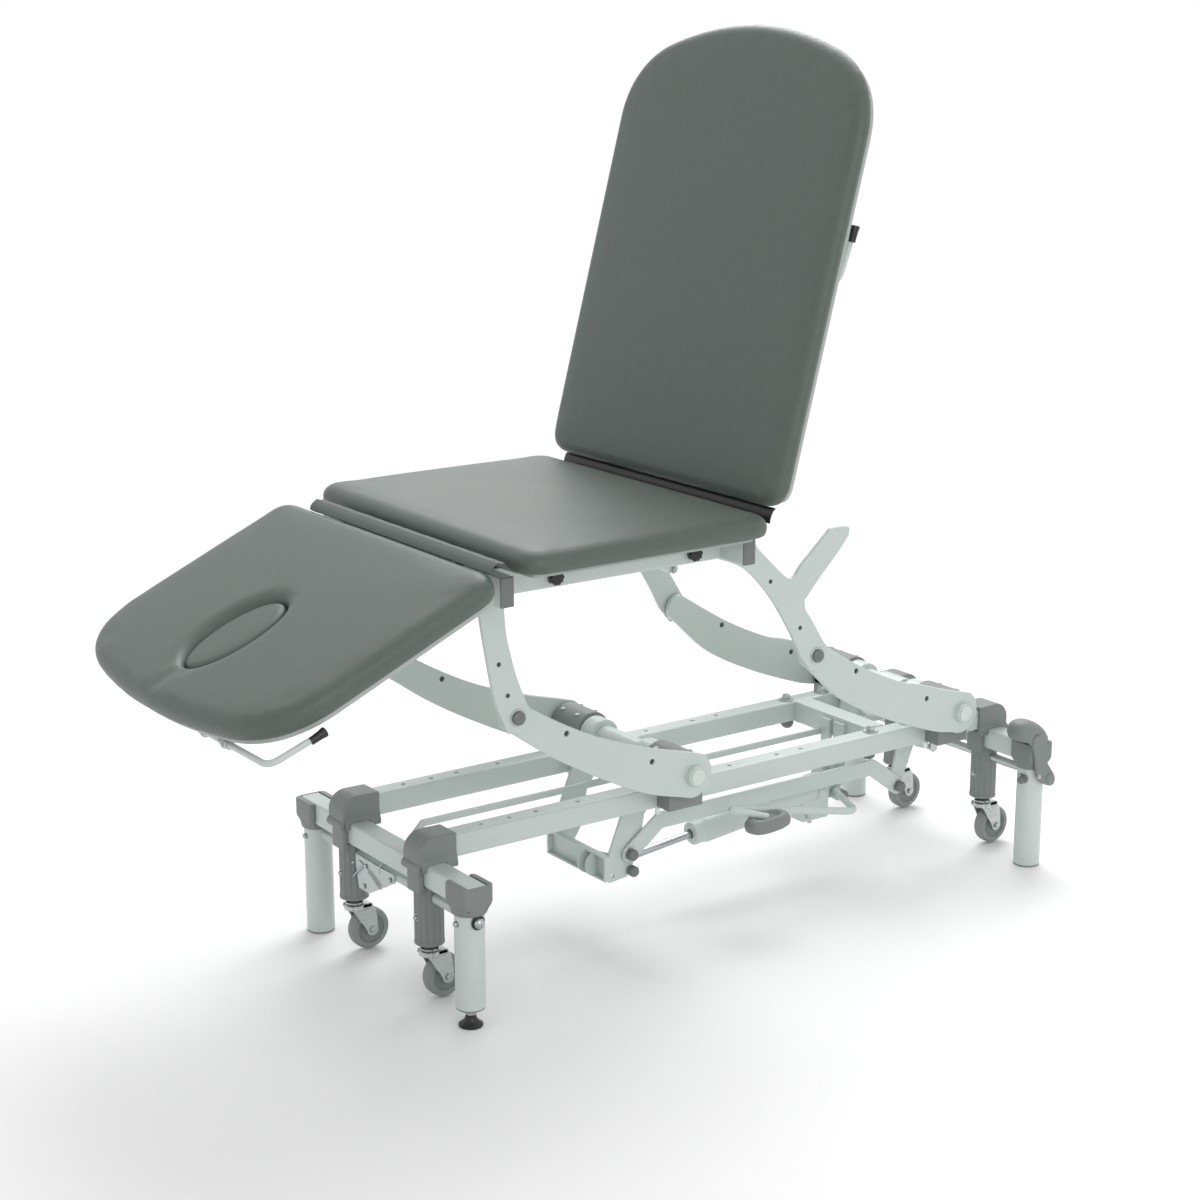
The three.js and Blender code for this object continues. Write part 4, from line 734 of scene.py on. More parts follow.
def hood(name, node, x, y, sx):
    """A quarter-round cover with a lip at its foot, open below for the two tubes."""
    round_radius = 0.033  # as large as the rail's end inside allows
    outline = [(-HOOD_INNER, 0.246), (HOOD_OUTER, 0.246)]
    outline += arc_points((HOOD_OUTER - round_radius, HOOD_TOP - round_radius), round_radius,
                          0, 90, 18)
    outline.append((-HOOD_INNER, HOOD_TOP - 0.0008))
    lip = [(HOOD_OUTER - 0.006, 0.2635), (HOOD_OUTER + 0.0012, 0.2615),
           (HOOD_OUTER + 0.0042, 0.2575), (HOOD_OUTER + 0.0050, 0.2530),
           (HOOD_OUTER + 0.0036, 0.2485), (HOOD_OUTER + 0.0005, 0.2462),
           (HOOD_OUTER - 0.006, 0.2462)]
    skirt = [(0.2465, 0.0014), (0.2480, 0.0030), (0.2540, 0.0034), (0.2580, 0.0024),
             (0.2630, 0.0008), (0.2700, -0.0012)]
    low_x, high_x = sorted((x - sx * HOOD_INNER, x + sx * (HOOD_OUTER - 0.004)))

    skirt_shell = stack(
        [(low_x, y - HOOD_HALF - out, z), (high_x, y - HOOD_HALF - out, z),
         (high_x, y + HOOD_HALF + out, z), (low_x, y + HOOD_HALF + out, z)] for z, out in skirt)
    inner = 0.0203
    tools = [block((x - sx * 0.08, y - inner, 0), (x + sx * 0.0202, y + inner, 0.3003)),
             block((x - inner, y - 0.05, 0), (x + inner, y + 0.05, 0.2583))]

    def across(points):
        return plate([(x + sx * a, z) for a, z in points], y - HOOD_HALF, y + HOOD_HALF)

    shells = {"hood_": across(outline), "hood_lip_": across(lip), "hood_skirt_": skirt_shell}
    for start, shell in shells.items():
        part = piece(start + name, "base", MOULDED, shell, soft=0.0032, segments=4, angle=28,
                     replaces=[node])
        drill(part, *tools)


for end, side, sx, sy in CORNERS:
    middle = box_middle(f"rail_{side}")
    hood(f"{end}_{side}", f"rail_hood_{end}_{side}", at(sx * LEG_SPAN, 0, 0).x, middle.y, sx)
print("hoods done")

# %% [markdown]
# ## Castors
# A castor reads as a castor when its parts have different finishes: a fluted plastic column, a
# bright ring where the stem turns, a plated fork pressed with ribs, and a dull grey wheel with
# a darker groove where the tread meets the hub.

# %% Columns
COLUMN_RADIUS = 0.026
COLUMN_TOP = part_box("leg_back_right")[1].z
FLUTES = 14


def fluted_plan(radius, depth):
    plan = []
    for angle in turns(FLUTES * 8):
        hollow = max(0.0, math.cos(FLUTES * angle)) ** 2 * depth
        plan.append(((radius - hollow) * math.cos(angle), (radius - hollow) * math.sin(angle)))
    return plan


def column(name, node, x, y):
    low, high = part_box(node)
    piece("column_" + name, "base", MOULDED,
          standing(fluted_plan(COLUMN_RADIUS, 0.0017), low.z, COLUMN_TOP, x, y),
          replaces=[node], soft=0.0008, angle=50)
    half, corner, top = 0.020, 0.010, high.z
    ear = [(-half, 0.206), (half, 0.206),
           *arc_points((half - corner, top - corner), corner, 0, 90, 6),
           *arc_points((-half + corner, top - corner), corner, 90, 180, 6)]
    piece("column_ear_" + name, "base", MOULDED,
          stack([(face, y + a, z) for a, z in ear] for face in (low.x, x - 0.0203)),
          block((low.x + 0.002, y - half + 0.001, 0.2070),
                (x + COLUMN_RADIUS, y + half - 0.001, COLUMN_TOP - 0.001)),
          soft=0.002)
    collar = [(COLUMN_RADIUS - 0.0008, 0), (COLUMN_RADIUS + 0.0006, 0.001),
              (COLUMN_RADIUS + 0.0006, 0.006), (COLUMN_RADIUS - 0.0008, 0.007)]
    foot = Vector((x, y, low.z))
    piece("column_rim_" + name, "base", MOULDED,
          lathe([(0.014, 0), *collar, (0.014, 0.007)], foot, foot + UP, 48,
                closed=True))
    nut = Vector((x - COLUMN_RADIUS + 0.0012, y, 0.158))
    piece("column_nut_" + name, "base", CHROME, washer(0.0062, 0.001, nut, (-1, 0, 0)),
          dome(0.0045, 0.0042, nut - Vector((0.001, 0, 0)), (-1, 0, 0), 0.0018))
    cap = Vector((x + COLUMN_RADIUS - 0.0012, y, 0.156))
    piece("column_cap_" + name, "base", CAP_GREY, dome(0.0062, 0.0028, cap, (1, 0, 0), 0.001))


for end, side, sx, sy in CORNERS:
    node = f"castor_column_{end}_{side}"
    column(f"{end}_{side}", node, at(sx * LEG_SPAN, 0, 0).x, box_middle(node).y)
print("columns done")

# %% Stems, forks and wheels
WHEEL_RADIUS = (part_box("castor_wheel_back_right")[1].z
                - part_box("castor_wheel_back_right")[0].z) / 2
CASTOR_TRAIL = 0.027
FORK_SIDE = 0.0166  # from the fork's middle to where ribs and nuts sit
AXLE_HEIGHT = box_middle("castor_wheel_back_right").z


def castor(name, x, y):
    stem_body, fork_body, wheel_body = (f"castor_{part}_{name}" for part in
                                        ("stem", "fork", "wheel"))
    foot = Vector((x, y, 0))
    ring = [(0.0058, 0.0845), (0.0145, 0.0945), (0.0162, 0.0955), (0.0162, 0.0985),
            (0.0145, 0.0995), (0.0128, 0.1005), (0.0128, 0.1030), (0.0145, 0.1038),
            (0.0150, 0.1048), (0.0145, 0.1065), (0.0108, 0.1065), (0.0108, 0.182), (0, 0.182)]
    piece("stem_" + name, stem_body, CHROME, lathe(ring, foot, foot + UP, 40),
          replaces=[f"castor_stem_{name}"])
    piece("race_" + name, stem_body, BLACK,
          lathe([(0.0125, 0.1003), (0.0136, 0.1008), (0.0136, 0.1026), (0.0125, 0.103)], foot,
                foot + UP, 40, closed=True))

    crown = [(0.0065, 0.0842), (0.0182, 0.0842), (0.0194, 0.0852), (0.0192, 0.0880),
             (0.0186, 0.0888), (0.0192, 0.0898), (0.0188, 0.0925), (0.0170, 0.0938),
             (0.0065, 0.0938)]
    shells = [lathe(crown, foot, foot + UP, 40, closed=True)]
    wheel_x = x + CASTOR_TRAIL
    for side in (-1, 1):
        outline = [(x - 0.0150, 0.0936), (x - 0.0160, 0.0880), (x - 0.0085, 0.0800),
                   (x + 0.0020, 0.0620), (x + 0.0120, 0.0480)]
        outline += arc_points((wheel_x, AXLE_HEIGHT), 0.0112, 190, 378, 14)
        outline += [(x + 0.0372, 0.0620), (x + 0.0340, 0.0800), (x + 0.0265, 0.0936)]
        shells.append(plate(outline, y + side * 0.0138, y + side * 0.0168))
    shells.append(block((x + 0.002, y - 0.0168, 0.0842), (x + 0.0262, y + 0.0168, 0.0936)))
    piece("fork_" + name, fork_body, ZINC, *shells, soft=0.0009,
          replaces=[f"castor_fork_{name}"])
    ribs = []
    for side in (-1, 1):
        for row in range(5):
            z = 0.0865 - row * 0.0062
            start = Vector((x - 0.008 + row * 0.0022, y + side * FORK_SIDE, z))
            end = Vector((x + 0.0255 + row * 0.0014, y + side * FORK_SIDE, z))
            ribs.append(rod(0.0012, start, end, 0.0004, 10))
    piece("fork_ribs_" + name, fork_body, ZINC, *ribs)
    fittings = []
    for side in (-1, 1):
        fittings += bolt(0.0118, 0.0042, 0.0078, 0.0009,
                         (wheel_x, y + side * FORK_SIDE, AXLE_HEIGHT), (0, side, 0))
    fittings.append(rod(0.0039, (wheel_x, y - FORK_SIDE, AXLE_HEIGHT),
                        (wheel_x, y + FORK_SIDE, AXLE_HEIGHT)))
    piece("axle_" + name, fork_body, CHROME, *fittings)

    r = WHEEL_RADIUS
    half = 0.0115
    tread = [(0.0262, -half + 0.0022), (0.0272, -half + 0.0004), (r * 0.90, -half),
             (r * 0.965, -half + 0.0022), (r * 0.995, -half + 0.0055), (r, 0)]
    tread += [(radius, -along) for radius, along in tread[-2::-1]]
    centre = Vector((wheel_x, y, AXLE_HEIGHT))
    piece("tyre_" + name, wheel_body, TYRE, lathe(tread, centre, centre + ACROSS, 64,
                                                  closed=True),
          replaces=[f"castor_wheel_{name}"])
    hub = [(0.0043, -half + 0.0002), (0.0098, -half + 0.0002), (0.0112, -half + 0.0018),
           (0.0128, -half + 0.0034), (0.0212, -half + 0.0030), (0.0236, -half + 0.0012),
           (0.0264, -half + 0.0022)]
    hub += [(radius, -along) for radius, along in hub[::-1]]
    piece("wheel_hub_" + name, wheel_body, MOULDED,
          lathe(hub, centre, centre + ACROSS, 56, closed=True))


for end, side, sx, sy in CORNERS:
    name = f"{end}_{side}"
    castor(name, at(sx * LEG_SPAN, 0, 0).x, box_middle("castor_column_" + name).y)
print("castors done, wheel radius", round(WHEEL_RADIUS, 4))

# %% The levelling foot under the short leg
foot = Vector((box_middle("levelling_foot").x, box_middle("levelling_foot").y, 0))
cone = [(0, 0), (0.0198, 0), (0.0210, 0.0012), (0.0210, 0.0040), (0.0178, 0.0064),
        (0.0122, 0.0112), (0.0096, 0.0165), (0.0090, 0.0210), (0.0084, 0.0216), (0, 0.0216)]
piece("foot_cone", "levelling_foot", BLACK, lathe(cone, foot, foot + UP, 48),
      replaces=["levelling_foot"])
nut_z = 0.0218
piece("foot_nut", "base", CHROME,
      hex_head(0.0205, 0.0066, foot + UP * nut_z, (0, 0, 1)),
      washer(0.0118, 0.0012, foot + UP * (nut_z + 0.0068), (0, 0, 1)))
thread = []
for i in range(20):
    z = nut_z + 0.006 + i * 0.002
    thread += [(0.0058, z), (0.0052, z + 0.001)]
piece("foot_thread", "levelling_foot", ZINC,
      lathe([(0, thread[0][1]), *thread, (0, thread[-1][1])], foot, foot + UP, 32))
print("levelling foot done")

# %% [markdown]
# ## The castor gear
# A shaft runs across the couch at each end, with a crank that a long link bar pulls. At the
# head end a triangular web hangs from the shaft, a spring pulls it back, and bright rods with
# small nuts hold the columns' brakes. The pedal stands over the back right leg.

# %% Shafts and link bar
for node in ("castor_shaft_head", "castor_link_bar"):
    keep(node, PAINT, 0.0012)

SHAFT_Z = 0.195
head_x = at(-LEG_SPAN, 0, 0).x
shaft_body = "castor_shaft_head"
for sign in (-1, 1):
    end_face = Vector((head_x, sign * 0.2862, SHAFT_Z))
    piece(f"shaft_nut_{sign + 1}", shaft_body, CHROME,
          dome(0.0098, 0.0075, end_face, (0, sign, 0), 0.0055))
    piece(f"shaft_washer_{sign + 1}", shaft_body, BLACK,
          lathe([(0.0095, 0), (0.0128, 0), (0.0128, 0.0024), (0.0095, 0.0024)], end_face,
                end_face + Vector((0, sign, 0)), 32, closed=True))

for side, sy in SIDES:
    for end, sx in ENDS:
        x = at(sx * LEG_SPAN, 0, 0).x - LEG_RADIUS
        stud = Vector((x + 0.0008, sy * LEG_SIDE, 0.190))
        piece(f"leg_stud_{end}_{side}", "base", CHROME, washer(0.0070, 0.0011, stud, (-1, 0, 0)),
              dome(0.0048, 0.0044, stud - Vector((0.001, 0, 0)), (-1, 0, 0), 0.0020))


def spring(radius, wire, start, end, turns, steps=14):
    """A coil of wire between two points, with its ends drawn out straight."""
    start, end = Vector(start), Vector(end)
    along = end - start
    side = along.normalized().orthogonal().normalized()
    other = along.normalized().cross(side)
    count = turns * steps
    path = [start - along * 0.14]
    for i in range(count + 1):
        a = 2 * math.pi * i / steps
        path.append(start + along * i / count + (side * math.cos(a) + other * math.sin(a))
                    * radius)
    path.append(end + along * 0.14)
    return bent_bar(wire, path, 0.0002, 8, 0.0002)


web_x = head_x - 0.0075
piece("brake_spring", shaft_body, CHROME,
      spring(0.0036, 0.0007, (web_x - 0.0050, 0.050, SHAFT_Z - 0.012),
             (web_x - 0.0050, 0.012, SHAFT_Z - 0.030), 11))
for number, (y, z) in enumerate(((0.062, -0.006), (-0.022, -0.006), (0.070, -0.046))):
    place = Vector((web_x - 0.0042, y, SHAFT_Z + z))
    piece(f"web_bolt_{number}", shaft_body, CHROME,
          *bolt(0.0098, 0.0036, 0.0066, 0.0009, place, (-1, 0, 0)))
for number, (far, near) in enumerate((((0.1346, 0.1574), (0.1047, 0.1836)),
                                      ((0.1061, 0.1570), (0.0696, 0.1888)))):
    rod_x = web_x - 0.0065
    route = [(rod_x, *far), (rod_x, *near), (rod_x + 0.004, near[0] + 0.020, near[1] + 0.004)]
    piece(f"brake_rod_{number}", shaft_body, CHROME, bent_bar(0.0024, route, 0.006, 12, 0.0004))
print("head shaft dressed")

# %% The castor pedal
def spline(row, steps):
    """A Catmull-Rom curve from the second point of a row to its last but one."""
    row = [Vector(p) for p in row]
    curve = []
    for a, b, c, d in zip(row, row[1:], row[2:], row[3:]):
        for i in range(steps):
            t = i / steps
            curve.append(tuple(0.5 * (2 * b + (c - a) * t + (2 * a - 5 * b + 4 * c - d) * t ** 2
                                      + (3 * b - a - 3 * c + d) * t ** 3)))
    return curve


def smooth_loop(points):
    """A closed curve through every point."""
    return spline([points[-1], *points, *points[:2]], 5)


back_x = at(LEG_SPAN, 0, 0).x
pedal_body = "castor_pedal"
piece("pedal_shaft", pedal_body, ZINC,
      rod(0.0088, (back_x, -0.2926, SHAFT_Z), (back_x, 0.2938, SHAFT_Z)),
      replaces=["castor_pedal"])
crank_y = 0.0155
crank = [(back_x - 0.011, SHAFT_Z + 0.004), *arc_points((back_x, SHAFT_Z), 0.0143, 170, 10, 8),
         *arc_points((back_x, SHAFT_Z - 0.026), 0.009, 0, -180, 8)]
piece("pedal_crank", pedal_body, ZINC, plate(crank, crank_y - 0.0005, crank_y + 0.0035),
      rod(0.0041, (back_x, 0.0188, SHAFT_Z - 0.026), (back_x, 0.0285, SHAFT_Z - 0.026), 0.0004),
      soft=0.0006)
arm_y = (-0.2992, -0.2917)
ARM_SHAPE = [(0.663, 0.262), (0.664, 0.240), (0.667, 0.222), (0.676, 0.208), (0.686, 0.195),
             (0.6905, 0.183), (0.688, 0.1735), (0.679, 0.170), (0.666, 0.174), (0.651, 0.182),
             (0.641, 0.194), (0.6365, 0.208), (0.634, 0.222), (0.630, 0.243), (0.624, 0.262),
             (0.628, 0.278), (0.645, 0.284), (0.658, 0.276)]
arm_outline = smooth_loop([(x + MIDDLE, z) for x, z in ARM_SHAPE])
piece("pedal_arm", pedal_body, MOULDED, plate(arm_outline, *arm_y), soft=0.0032, segments=4)
toe = at(0.6745, arm_y[0] + 0.0006, 0.186)
piece("pedal_toe", pedal_body, MOULDED, dome(0.0120, 0.0050, toe, (0, -1, 0), 0.0004))
screw = at(0.6435, arm_y[0] + 0.0004, 0.196)
piece("pedal_screw", pedal_body, ZINC, washer(0.0048, 0.0012, screw, (0, -1, 0)),
      hex_head(0.0062, 0.0024, screw - Vector((0, 0.001, 0)), (0, -1, 0)))
print("castor pedal done")


# %% Rubber faces of both pedals
def foot_pad(name, body, middle, length, width, height, tilt):
    """A long oval dome with a smaller oblong hollow in its top."""
    rows = [(0.80, -0.50), (0.96, -0.36), (1.0, -0.06), (0.97, 0.20), (0.86, 0.40),
            (0.72, 0.49), (0.60, 0.50), (0.54, 0.44), (0.50, 0.33), (0.30, 0.31)]
    place = Matrix.Translation(middle) @ Matrix.Rotation(tilt, 4, "Y")

    def squared(value):
        return math.copysign(abs(value) ** 0.74, value)

    rings = [[place @ Vector((squared(math.cos(a)) * length / 2 * share,
                              squared(math.sin(a)) * width / 2 * share, rise * height))
              for a in turns(48)] for share, rise in rows]
    piece(name, body, MOULDED, stack(rings), angle=60)


def pedal_dome(name, body):
    """A tilted dome, flat below where it clears the leg's cap, with an oblong hollow outside."""
    centre = at(0.6405, -0.2655, 0.274)
    half_long, half_short, half_wide = 0.0475, 0.0290, 0.0330
    turn = Matrix.Rotation(math.radians(33), 4, "Y")

    def on_dome(pole, a):
        around = abs(math.sin(pole)) ** 0.86
        u = half_long * around * math.cos(a)
        w = half_short * around * math.sin(a)
        v = -half_wide * math.copysign(abs(math.cos(pole)) ** 0.80, math.cos(pole))
        if v < 0:
            far = math.hypot(u / 0.0185, w / 0.0095)
            v += 0.0026 * max(0.0, min(1.0, (1.15 - far) / 0.3))
        place = centre + turn @ Vector((u, v, w))
        if place.y > -0.2905:
            place.z = max(place.z, 0.2695)
        return place

    rows = 30
    rings = [[on_dome(math.pi * j / rows, a) for a in turns(56)] for j in range(1, rows)]
    piece(name, body, MOULDED, stack(rings), angle=70)


pedal_dome("castor_pedal_pad", pedal_body)
a = math.radians(196)
out = Vector((math.cos(a), math.sin(a), 0))
skin = Vector((back_x, -LEG_SIDE, 0.1855)) + out * (LEG_RADIUS - 0.001)
piece("leg_ball_0", "base", CAP_GREY,
      lathe([(0, 0), (0.0088, 0), (0.0094, 0.0016), (0.0094, 0.0040), (0.0072, 0.0066),
             (0.0070, 0.0100), (0.0080, 0.0118), (0.0074, 0.0156), (0.0046, 0.0180),
             (0, 0.0186)], skin, skin + out, 32))
print("pads done")

# %% [markdown]
# ## The lift
# Two pairs of arms carry the upper frame. Their outlines are smooth curves cut from plate, so
# a curve is passed through the few points that matter. The arms keep step through two cranks
# and a long flat coupler bar with a round eye at each end.

# %% Smooth outlines for cut plates
ARM_RISE = Vector((-0.3832, 0, 0.1807))  # from a base pivot to the top pivot of the same arm
PIVOT_Z = 0.3304
PIVOT_X = {"head": -0.1481, "back": 0.5124}  # from the middle of the base
ARM_LENGTH = ARM_RISE.length
ARM_Y = (0.197, 0.209)


def smooth_through(points, steps=6):
    """A curve through every point of an open row."""
    points = [Vector(p) for p in points]
    row = [2 * points[0] - points[1], *points, 2 * points[-1] - points[-2]]
    return [*spline(row, steps), tuple(points[-1])]


def polar(middle, reach, degrees):
    angle = math.radians(degrees)
    return (middle[0] + reach * math.cos(angle), middle[1] + reach * math.sin(angle))


ARM_SHARES = {
    "head": ([(0.78, 0.035), (0.546, 0.027), (0.295, 0.048), (0.047, 0.09)],
             [(0.208, -0.135), (0.47, -0.133), (0.733, -0.112)]),
    "back": ([(0.701, 0.027), (0.437, 0.027), (0.312, 0.048), (0.128, 0.071)],
             [(0.139, -0.13), (0.457, -0.153), (0.75, -0.14)]),
}


def arm_outline(end):
    lift = math.degrees(math.atan2(ARM_RISE.z, ARM_RISE.x))
    base = (PIVOT_X[end] + MIDDLE, PIVOT_Z)
    tip = (base[0] + ARM_RISE.x, base[1] + ARM_RISE.z)
    tops, bottoms = ARM_SHARES[end]

    def place(share):
        foot = polar(base, share[0] * ARM_LENGTH, lift)
        return polar(foot, share[1] * ARM_LENGTH, lift - 90)

    heel = arc_points(base, 0.101 * ARM_LENGTH, lift - 100, lift - 270, 18)
    nose = arc_points(tip, 0.066 * ARM_LENGTH, lift + 90, lift - 70, 14)
    under = smooth_through([heel[-1], *map(place, bottoms), nose[0]])[1:-1]
    over = smooth_through([nose[-1], *map(place, tops), heel[0]])[1:-1]
    return heel + under + nose + over


print("arm length", round(ARM_LENGTH, 4))

# %% Arms, their pivots, hubs and caps
BOSS = finish("pale moulded cap", "CDD5D1", 0.42, drift=0.02, edge="E2E8E5",
              pebble_scale=1200.0, bump=0.05)


def arm(end, sy):
    body = f"lift_arm_{end}"
    side = "right" if sy < 0 else "left"
    base = at(PIVOT_X[end], 0, PIVOT_Z)
    tip = base + ARM_RISE
    y0, y1 = ARM_Y[0] * sy, ARM_Y[1] * sy
    made = piece(f"arm_{end}_{side}", body, PAINT, plate(arm_outline(end), y0, y1), soft=0.0022,
                 segments=3, angle=40)
    holes = [base + ARM_RISE * share for share in (0.24, 0.72)]
    drill(made, *(lathe([(0, 0), (0.005, 0), (0.005, 0.1), (0, 0.1)],
                        (middle.x, sy * 0.15, middle.z), (middle.x, sy * 0.25, middle.z), 24)
                  for middle in holes))
    # A dark rod sits in each drilled hole as painted shade inside the bore.
    for number, middle in enumerate(holes):
        start = (middle.x, y0 + sy * 0.001, middle.z)
        piece(f"arm_hole_{end}_{side}_{number}", body, BORE_SHADE,
              rod(0.0049, start, (middle.x, y1 - sy * 0.0035, middle.z), 0.0003, 24))

    def on_pivot(name, material, profile, place, y):
        start = Vector((place.x, sy * y, place.z))
        piece(f"{name}_{end}_{side}", body, material,
              lathe(profile, start, start + ACROSS * sy, 48))

    on_pivot("arm_boss", PAINT, [(0, 0), (0.0182, 0), (0.0182, 0.0105), (0.0170, 0.0125),
                                 (0.0150, 0.0132), (0, 0.0132)], base, ARM_Y[1] - 0.0005)
    on_pivot("arm_boss_cap", BOSS, [(0, 0), (0.0142, 0.0), (0.0148, 0.0008), (0.0144, 0.0028),
                                    (0.0110, 0.0044), (0, 0.0050)], base, ARM_Y[1] + 0.0124)
    on_pivot("arm_tip_ring", PAINT, [(0, 0), (0.0185, 0), (0.0185, 0.0006), (0.0150, 0.0016),
                                     (0, 0.0016)], tip, ARM_Y[1] - 0.0003)
    pin_end = 0.2190
    on_pivot("arm_pin", ZINC, [(0, 0), (0.0079, 0), (0.0079, 0.026), (0, 0.026)], tip, 0.1975)
    on_pivot("arm_pin_washer", ZINC, [(0, 0), (0.0152, 0), (0.0158, 0.0005), (0.0158, 0.0016),
                                      (0.0152, 0.0021), (0, 0.0021)], tip, pin_end + 0.0002)
    on_pivot("arm_pin_cap", CAP_GREY, [(0, 0), (0.0112, 0), (0.0128, 0.0014), (0.0118, 0.0044),
                                       (0.0084, 0.0068), (0.0042, 0.0080), (0, 0.0084)], tip,
             pin_end + 0.0020)
    on_pivot("arm_hub", PAINT, [(0, 0), (0.0325, 0), (0.0340, 0.0015), (0.0340, 0.0345),
                                (0.0325, 0.0360), (0, 0.0360)], base, 0.066)


for end, _ in ENDS:
    for _, sy in SIDES:
        arm(end, sy)
    base = at(PIVOT_X[end], 0, PIVOT_Z)
    piece(f"torque_tube_{end}", f"lift_arm_{end}", PAINT,
          rod(0.0238, (base.x, -0.1972, base.z), (base.x, 0.1972, base.z), 0.001, 48),
          replaces=[f"lift_arm_{end}"])
print("arms done")

# %% Cranks, channel and hump
COUPLER_X, COUPLER_Z = -0.060, -0.170  # the coupler's pin from a base pivot
CRANK_Y = (0.088, 0.094)
HEAD_CRANK_SHARES = [(-0.2, 0), (-0.335, -0.3), (-0.45, -0.575), (-0.595, -0.93),
                     (-0.67, -1.2), (-0.6, -1.295), (-0.375, -1.27), (-0.225, -1.03),
                     (-0.14, -0.6), (0.177, -0.18), (0.2, 0)]

head_pivot = at(PIVOT_X["head"], 0, PIVOT_Z)
back_pivot = at(PIVOT_X["back"], 0, PIVOT_Z)
crank = [(head_pivot.x - a * COUPLER_Z, head_pivot.z - b * COUPLER_Z)
         for a, b in HEAD_CRANK_SHARES]
for side, sy in SIDES:
    plate_made = piece(f"head_crank_{side}", "lift_arm_head", PAINT,
                       plate(crank, *(sy * y for y in CRANK_Y)), soft=0.0014, angle=30)
    hole = (head_pivot.x - 0.0955, head_pivot.z - 0.2075)
    drill(plate_made, rod(0.0036, (hole[0], sy * 0.08, hole[1]), (hole[0], sy * 0.10, hole[1]),
                          0, 24))
    eye_x, eye_z = back_pivot.x + COUPLER_X, back_pivot.z + COUPLER_Z
    link = [*arc_points((back_pivot.x, back_pivot.z), 0.034, 20, 160, 12),
            *arc_points((eye_x, eye_z), 0.017, 160, 380, 14)]
    piece(f"back_crank_{side}", "lift_arm_back", PAINT,
          plate(link, *(sy * y for y in CRANK_Y)), soft=0.0012, angle=40)
channel_low = at(-0.262, -CRANK_Y[1] - 0.001, 0.114)
channel_high = at(-0.248, CRANK_Y[1] + 0.001, 0.162)
channel = piece("crank_channel", "lift_arm_head", PAINT, block(channel_low, channel_high),
                soft=0.0012)
drill(channel, block(channel_low + Vector((-0.001, 0.006, 0.004)),
                     channel_high + Vector((-0.0045, -0.006, -0.004))))
for y in (-0.0575, -0.0325):
    cheek = [*arc_points((at(-0.255, 0, 0).x, 0.138), 0.024, 100, 260, 10),
             (at(-0.205, 0, 0).x, 0.1145), *arc_points((at(-0.203, 0, 0).x, 0.126), 0.0118, -80,
                                                       80, 8)]
    piece(f"rod_cheek_{'a' if y < -0.045 else 'b'}", "lift_arm_head", PAINT,
          plate(cheek, y, y + 0.0035), soft=0.0008)
rod_pin = at(-0.203, 0, 0.126)
piece("rod_pin", "lift_arm_head", ZINC,
      rod(0.0058, (rod_pin.x, -0.0625, rod_pin.z), (rod_pin.x, -0.0265, rod_pin.z)),
      washer(0.0092, 0.0014, (rod_pin.x, -0.0578, rod_pin.z), (0, -1, 0)))
start = Vector((back_pivot.x, -0.048, back_pivot.z))
piece("back_hump", "lift_arm_back", PAINT,
      lathe([(0, 0), (0.0275, 0), (0.029, 0.0015), (0.029, 0.0655), (0.0275, 0.067), (0, 0.067)],
            start, start + ACROSS, 56))
cap = [(0, 0), (0.0098, 0), (0.0104, 0.0012), (0.0104, 0.0120), (0.0090, 0.0142),
       (0.0040, 0.0150), (0, 0.0152)]
start = Vector((rod_pin.x, -0.0942, rod_pin.z))
piece("rod_pin_cap", "lift_arm_head", CAP_GREY, lathe(cap, start, start - ACROSS, 40))
print("cranks done")

# %% Coupler bar
COUPLER_Y = (-0.0952, -0.1008)


def strap(points, radii, steps=10):
    """The outline round a chain of circles, joined by straight tangents."""
    points = [Vector(p) for p in points]

    def side(order):
        row = []
        for i, index in enumerate(order):
            before = points[order[i]] - points[order[i - 1]] if i else None
            after = points[order[i + 1]] - points[index] if i + 1 < len(order) else None
            before = before or after
            after = after or before
            a0 = math.atan2(before.y, before.x) - math.pi / 2
            a1 = math.atan2(after.y, after.x) - math.pi / 2
            turn = (a1 - a0 + math.pi) % (2 * math.pi) - math.pi
            count = max(2, int(abs(turn) * 8))
            if i == 0:
                a0, turn, count = a1 - math.pi / 2, math.pi / 2, steps
            elif i == len(order) - 1:
                turn, count = math.pi / 2, steps
            if turn < 0:
                # an inner bend: the two tangents meet in one point
                mid = a0 + turn / 2
                reach = radii[index] / math.cos(turn / 2)
                row.append((points[index].x + reach * math.cos(mid),
                            points[index].y + reach * math.sin(mid)))
                continue
            for k in range(count + 1):
                a = a0 + turn * k / count
                row.append((points[index].x + radii[index] * math.cos(a),
                            points[index].y + radii[index] * math.sin(a)))
        return row

    forward = list(range(len(points)))
    return side(forward) + side(forward[::-1])


